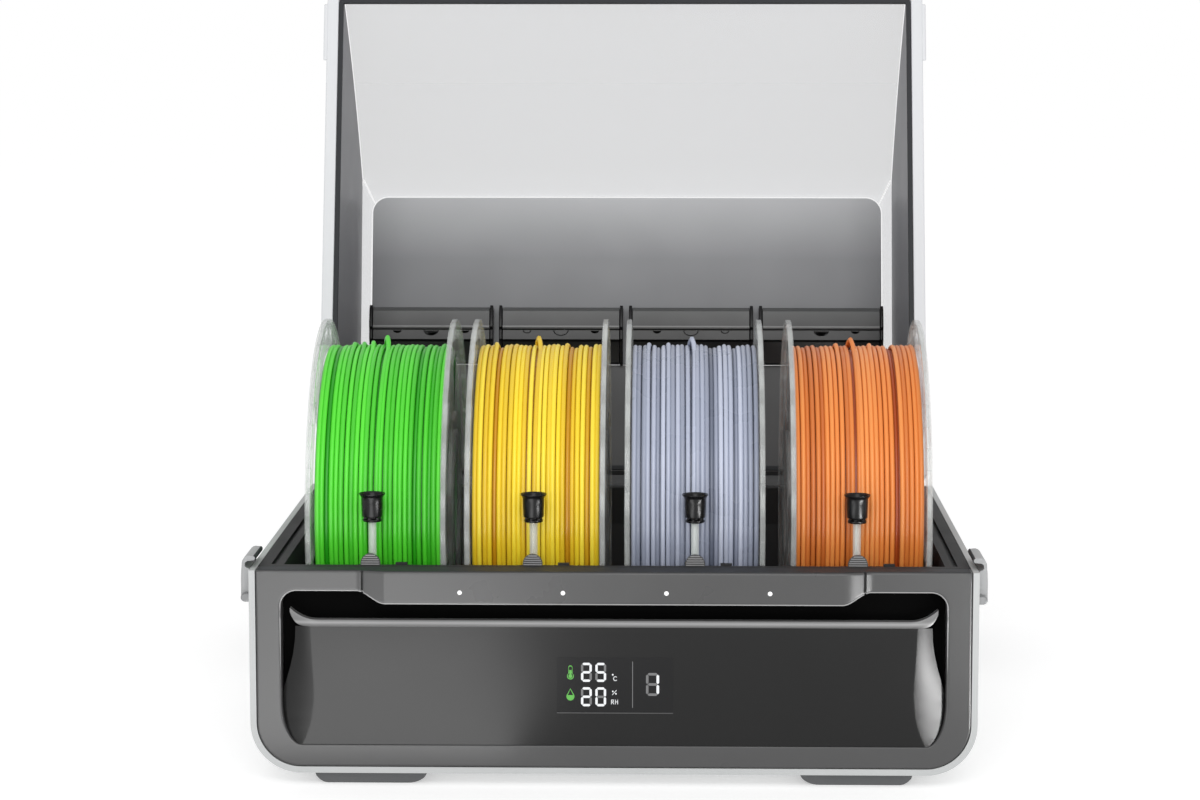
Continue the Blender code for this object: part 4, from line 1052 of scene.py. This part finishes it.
def lid_frame():
    outline = side_outline(COVER_WALL, -0.0005, 0.0035)
    parts = [slab(outline, "YZ", *sorted((side * LID_INNER, side * LID_HALF)))
             for side in (-1, 1)]
    parts.append(block((-LID_INNER - 0.001, -0.3022, -0.0005),
                       (LID_INNER + 0.001, -0.2988, 0.0026)))
    for side in (-1, 1):
        inner, outer = sorted((side * (LID_HALF - 0.001), side * (LID_HALF + 0.0020)))
        parts.append(block((inner, -0.2955, -0.0002), (outer, -0.2600, 0.0013)))
        x = side * KNUCKLE_X
        parts.append(block((x - 0.0057, -0.0050, -0.0005), (x + 0.0057, 0.0005, 0.0030)))
        parts.append(turned(tube(KNUCKLE_BORE, KNUCKLE_RADIUS, -0.0057, 0.0057), (x, 0, 0), "X",
                            28))
    lid_piece("lid_rim_and_sides", joined(*parts), LID_WHITE, bevel=0.0008, segments=3,
              stands_for=["lid_frame"], slot="lid_white")
    ribs = [block((-LID_INNER + 0.0002, -0.0063, -0.0005),
                  (LID_INNER - 0.0002, -0.0037, edge_height(0) - 0.006))]
    for k in range(9):
        x = (k - 4) * 0.040
        ribs.append(block((x - 0.0007, -0.0068, 0.004), (x + 0.0007, -0.0062, 0.120)))
    lid_piece("lid_rear_wall", joined(*ribs), REAR_WALL, bevel=0.0003, slot="tub_grey")


def lid_cover():
    rows = [(reach, height, height) for reach, height in front_curve(0)]
    fold, end = PANEL_REACH + 0.0015, 0.0068
    for i in range(1, 9):
        reach = CREASE_REACH + (fold - CREASE_REACH) * i / 8
        low = edge_height(reach)
        rise = 0.5 * i / 8 + 0.5 * blend(i / 8)
        rows.append((reach, low, low + (top_height(reach) - low) * rise))
    for i in range(1, 13):
        reach = fold + (end - fold) * i / 12
        rows.append((reach, edge_height(reach), top_height(reach)))
    columns = [(-COVER_HALF, 0.0), (-COVER_HALF + 0.0012, 0.08), (-PANEL_HALF - 0.0012, 0.92),
               (-PANEL_HALF, 1.0)]
    columns += [(PANEL_HALF * i / 6, 1.0) for i in range(-5, 1)]
    columns += [(-x, t) for x, t in reversed(columns[:-1])]
    points = [[(x, -reach, low + (high - low) * t) for x, t in columns]
              for reach, low, high in rows]
    lid_piece("lid_clear_cover", grid(points), CLEAR_LID, thickness=COVER_WALL,
              stands_for=["lid_cover"], slot="clear_lid", angle=50, facing=(0, -0.5, 1))
    reaches, lows, highs = zip(*reversed(rows))
    # Thin glowing lines along the cover's side creases: painted highlights.
    for name, side in SIDES:
        path = []
        for i in range(13):
            t = i / 12
            reach = CREASE_REACH + (PANEL_REACH - 0.0050 - CREASE_REACH) * t
            x = COVER_HALF - 0.0003 - (COVER_HALF - PANEL_HALF + 0.0024) * t
            low, high = np.interp(reach, reaches, lows), np.interp(reach, reaches, highs)
            across = min(1.0, (COVER_HALF - x) / (COVER_HALF - PANEL_HALF))
            path.append((side * x, -reach, low + (high - low) * across - 0.0007 - 0.0016 * t ** 4))
        radii = [0.00055 - 0.00045 * abs(2 * i / 12 - 0.8) ** 3 / 1.8 for i in range(13)]
        lid_piece(f"lid_crease_{name}", pipe(path, radii), PAINTED_EDGE_HIGHLIGHT, slot="lid_white")
    # A glowing line round the raised panel: a painted highlight.
    half, radius = PANEL_HALF - 0.0005, 0.0104
    border = [(half, BOX_FAR)] + arc(half - radius, PANEL_REACH + 0.0004 - radius, radius, radius,
                                     0, 90, 12)
    border = border + mirrored(border)
    path = [(x, -reach, top_height(reach) - 0.0020) for x, reach in border]
    lid_piece("lid_panel_border", pipe(path, 0.00036), PAINTED_EDGE_HIGHLIGHT, slot="lid_white")


def sloped(outline, thick, drop=0.0024):
    """A plate just under the middle of the cover, from an outline of (x, reach)."""
    verts, faces = slab(outline, "XY", 0, thick)
    lifted = [(x, -reach, top_height(reach) - drop + h) for x, reach, h in verts]
    return lifted, faces


def lid_plates():
    half, radius = PANEL_HALF - 0.0009, 0.010
    right = [(half, BOX_REACH + 0.0002)]
    right += arc(half - radius, PANEL_REACH - radius, radius, radius, 0, 90, 12)
    lid_piece("lid_smoked_panel", sloped(right + mirrored(right), 0.002), SMOKED_PAINTED_SHADE,
              bevel=0.0006, segments=3, stands_for=["lid_panel"], slot="smoked_panel")
    near, far = 0.0075, BOX_REACH - 0.0002
    outline = [(half, near), (half, far), (-half, far), (-half, near)]
    lid_piece("lid_rear_lining", sloped(outline, 0.002), REAR_LINER, bevel=0.0004,
              stands_for=["lid_rear_liner"], slot="tub_grey")
    outline = side_outline(-0.0005, 0.0026, 0.0070)
    for name, side in SIDES:
        low, high = sorted((side * LINER_INNER, side * (LID_INNER - GAP)))
        lid_piece(f"lid_lining_{name}", slab(outline, "YZ", low, high), LINER,
                  bevel=0.0005, stands_for=[f"lid_liner_{name}"], slot="liner_grey")
    outer, inner, near, far = LID_INNER - GAP, LINER_INNER, -0.0069, -0.2985
    width = outer - inner
    seal = prism([rounded(-outer, far, outer, near, 0.002),
                  rounded(-inner, far + width, inner, near - width, 0.001)], "XY", -0.0010, 0.0022)
    lid_piece("lid_seal", seal, GASKET, bevel=0.0006,
              stands_for=["lid_gasket"], slot="rubber_black")


def desiccant_section(grow):
    """A desiccant box seen from its side, in the closed lid, grown by a margin."""
    top_far, top_near = top_height(BOX_FAR) - 0.0028, top_height(BOX_REACH) - 0.0028
    points = [(BOX_FAR + grow, top_far), (BOX_FAR + grow, 0.1412 - grow), (0.1302, 0.1390 - grow),
              (0.1192, 0.1385 - grow), (0.1177, 0.1400 - grow), (0.1114, 0.1404 - grow),
              (0.1100, 0.1420 - grow), (BOX_REACH - grow * 0.7, 0.1460 - grow),
              (BOX_REACH - grow * 0.7, top_near)]
    return [(-reach, height) for reach, height in points]


def desiccant_boxes():
    for i in range(SLOTS):
        x = (i - 1.5) * BOX_PITCH
        parts = [slab(desiccant_section(0), "YZ", x - 0.0380, x + 0.0380)]
        ends = [slab(desiccant_section(0.0012), "YZ", x + low, x + low + 0.0020)
                for low in (-0.0402, 0.0382)]
        lid_piece(f"desiccant_ends_{i + 1}", joined(*ends), SMALL_BLACK, bevel=0.0004,
                  slot="desiccant_black")
        for shift, size in ((0, 0.0050), (-0.022, 0.0028), (0.022, 0.0028)):
            inner = size - 0.0007
            rim = arc(x + shift, -0.1174, size, 0.7 * size, 0, 180, 12)
            rim += arc(x + shift, -0.1174, inner, 0.7 * inner, 180, 0, 12)
            parts.append(slab(rim, "XY", 0.1396, 0.1403))
        lid_piece(f"desiccant_case_{i + 1}", joined(*parts), DESICCANT_PAINTED_LIGHT, bevel=0.0005,
                  stands_for=[f"desiccant_box_{i + 1}"], slot="desiccant_black")


# ---- build --------------------------------------------------------------------------------------
shell()
bezel()
light_lenses()
front_panel()
recess_back()
display()
feet()
guides()
tabs()
latches()
rear()
spools()
lid_frame()
lid_cover()
lid_plates()
desiccant_boxes()

for node, look in (("inner_tub", TUB), ("control_board", BOARD), ("feeder_unit", SMALL_BLACK),
                   ("left_latch_pin", STEEL), ("right_latch_pin", STEEL),
                   ("left_hinge_pin", STEEL), ("right_hinge_pin", STEEL)):
    dress(node, look)
for i in range(SLOTS):
    dress(f"front_roller_{i + 1}", RUBBER)
    dress(f"rear_roller_{i + 1}", RUBBER)

# ---- stage, light and camera --------------------------------------------------------------------
floor_mesh = bpy.data.meshes.new("floor")
floor_mesh.from_pydata([(-9, -6, 0), (9, -6, 0), (9, 14, 0), (-9, 14, 0)], [], [(0, 1, 2, 3)])
floor = add_object("floor", floor_mesh)
floor_look = plastic("floor_white", grey(0.70), 0.8, bump=0.0, vary=0.002, specular=0.0)
floor_shader = floor_look.node_tree.nodes["Principled BSDF"]
floor_shader.inputs["Emission Color"].default_value = (1, 1, 1, 1)
floor_shader.inputs["Emission Strength"].default_value = 0.44
floor_mesh.materials.append(floor_look)


def studio_world():
    """An even light on the object from all round, with plain white behind it."""
    world = bpy.data.worlds.new("studio")
    bpy.context.scene.world = world
    world.use_nodes = True
    tree = world.node_tree
    seen = shader_node(tree, "LightPath")
    strength = shader_node(tree, "MapRange", To_Min=0.8, To_Max=1.0)
    tree.links.new(seen.outputs["Is Camera Ray"], strength.inputs["Value"])
    tree.links.new(strength.outputs["Result"], tree.nodes["Background"].inputs["Strength"])
    tree.nodes["Background"].inputs["Color"].default_value = (1, 1, 1, 1)


def area_light(name, location, target, size, power):
    light = bpy.data.lights.new(name, "AREA")
    light.shape = "RECTANGLE"
    light.size, light.size_y = size
    light.energy = power
    obj = add_object(name, light)
    obj.location = location
    obj.rotation_euler = (Vector(target) - Vector(location)).to_track_quat("-Z", "Y").to_euler()
    obj.visible_camera = False
    return obj


def floor_pool(name, corner, far_corner, radiance):
    """A soft light lying on the floor and facing up, for the sheen on the front."""
    (x0, y0), (x1, y1) = corner, far_corner
    size = (x1 - x0, y1 - y0)
    middle = ((x0 + x1) / 2, (y0 + y1) / 2)
    light = area_light(name, (*middle, 0.002), (*middle, 1), size,
                       radiance * math.pi * size[0] * size[1])
    light.rotation_euler = (math.pi, 0, 0)
    light.visible_diffuse = False


studio_world()
floor_pool("pool_front_left", (-0.24, -0.66), (-0.055, -0.31), 4.8)
floor_pool("pool_far_left", (-0.36, -1.05), (-0.08, -0.66), 6.0)
floor_pool("pool_right", (0.27, -0.66), (0.35, -0.27), 52.0)
area_light("front_top_box", (0.0, -1.9, 1.32), (0, -0.2, 0.10), (1.3, 0.8), 12)
area_light("front_fill", (0.03, -2.2, 0.50), (0, -0.2, 0.12), (1.2, 0.4), 8)

camera_data = bpy.data.cameras.new("camera")
camera_data.lens = 96.12
camera_data.sensor_width = 36
camera = add_object("camera", camera_data)
camera.location = (0.028, FRONT_Y - 1.600, 0.398)
camera.rotation_euler = (math.radians(90 - 7.081), 0, math.radians(1.242))
bpy.context.scene.camera = camera
bpy.context.scene.view_settings.view_transform = "Standard"

bpy.context.view_layer.update()
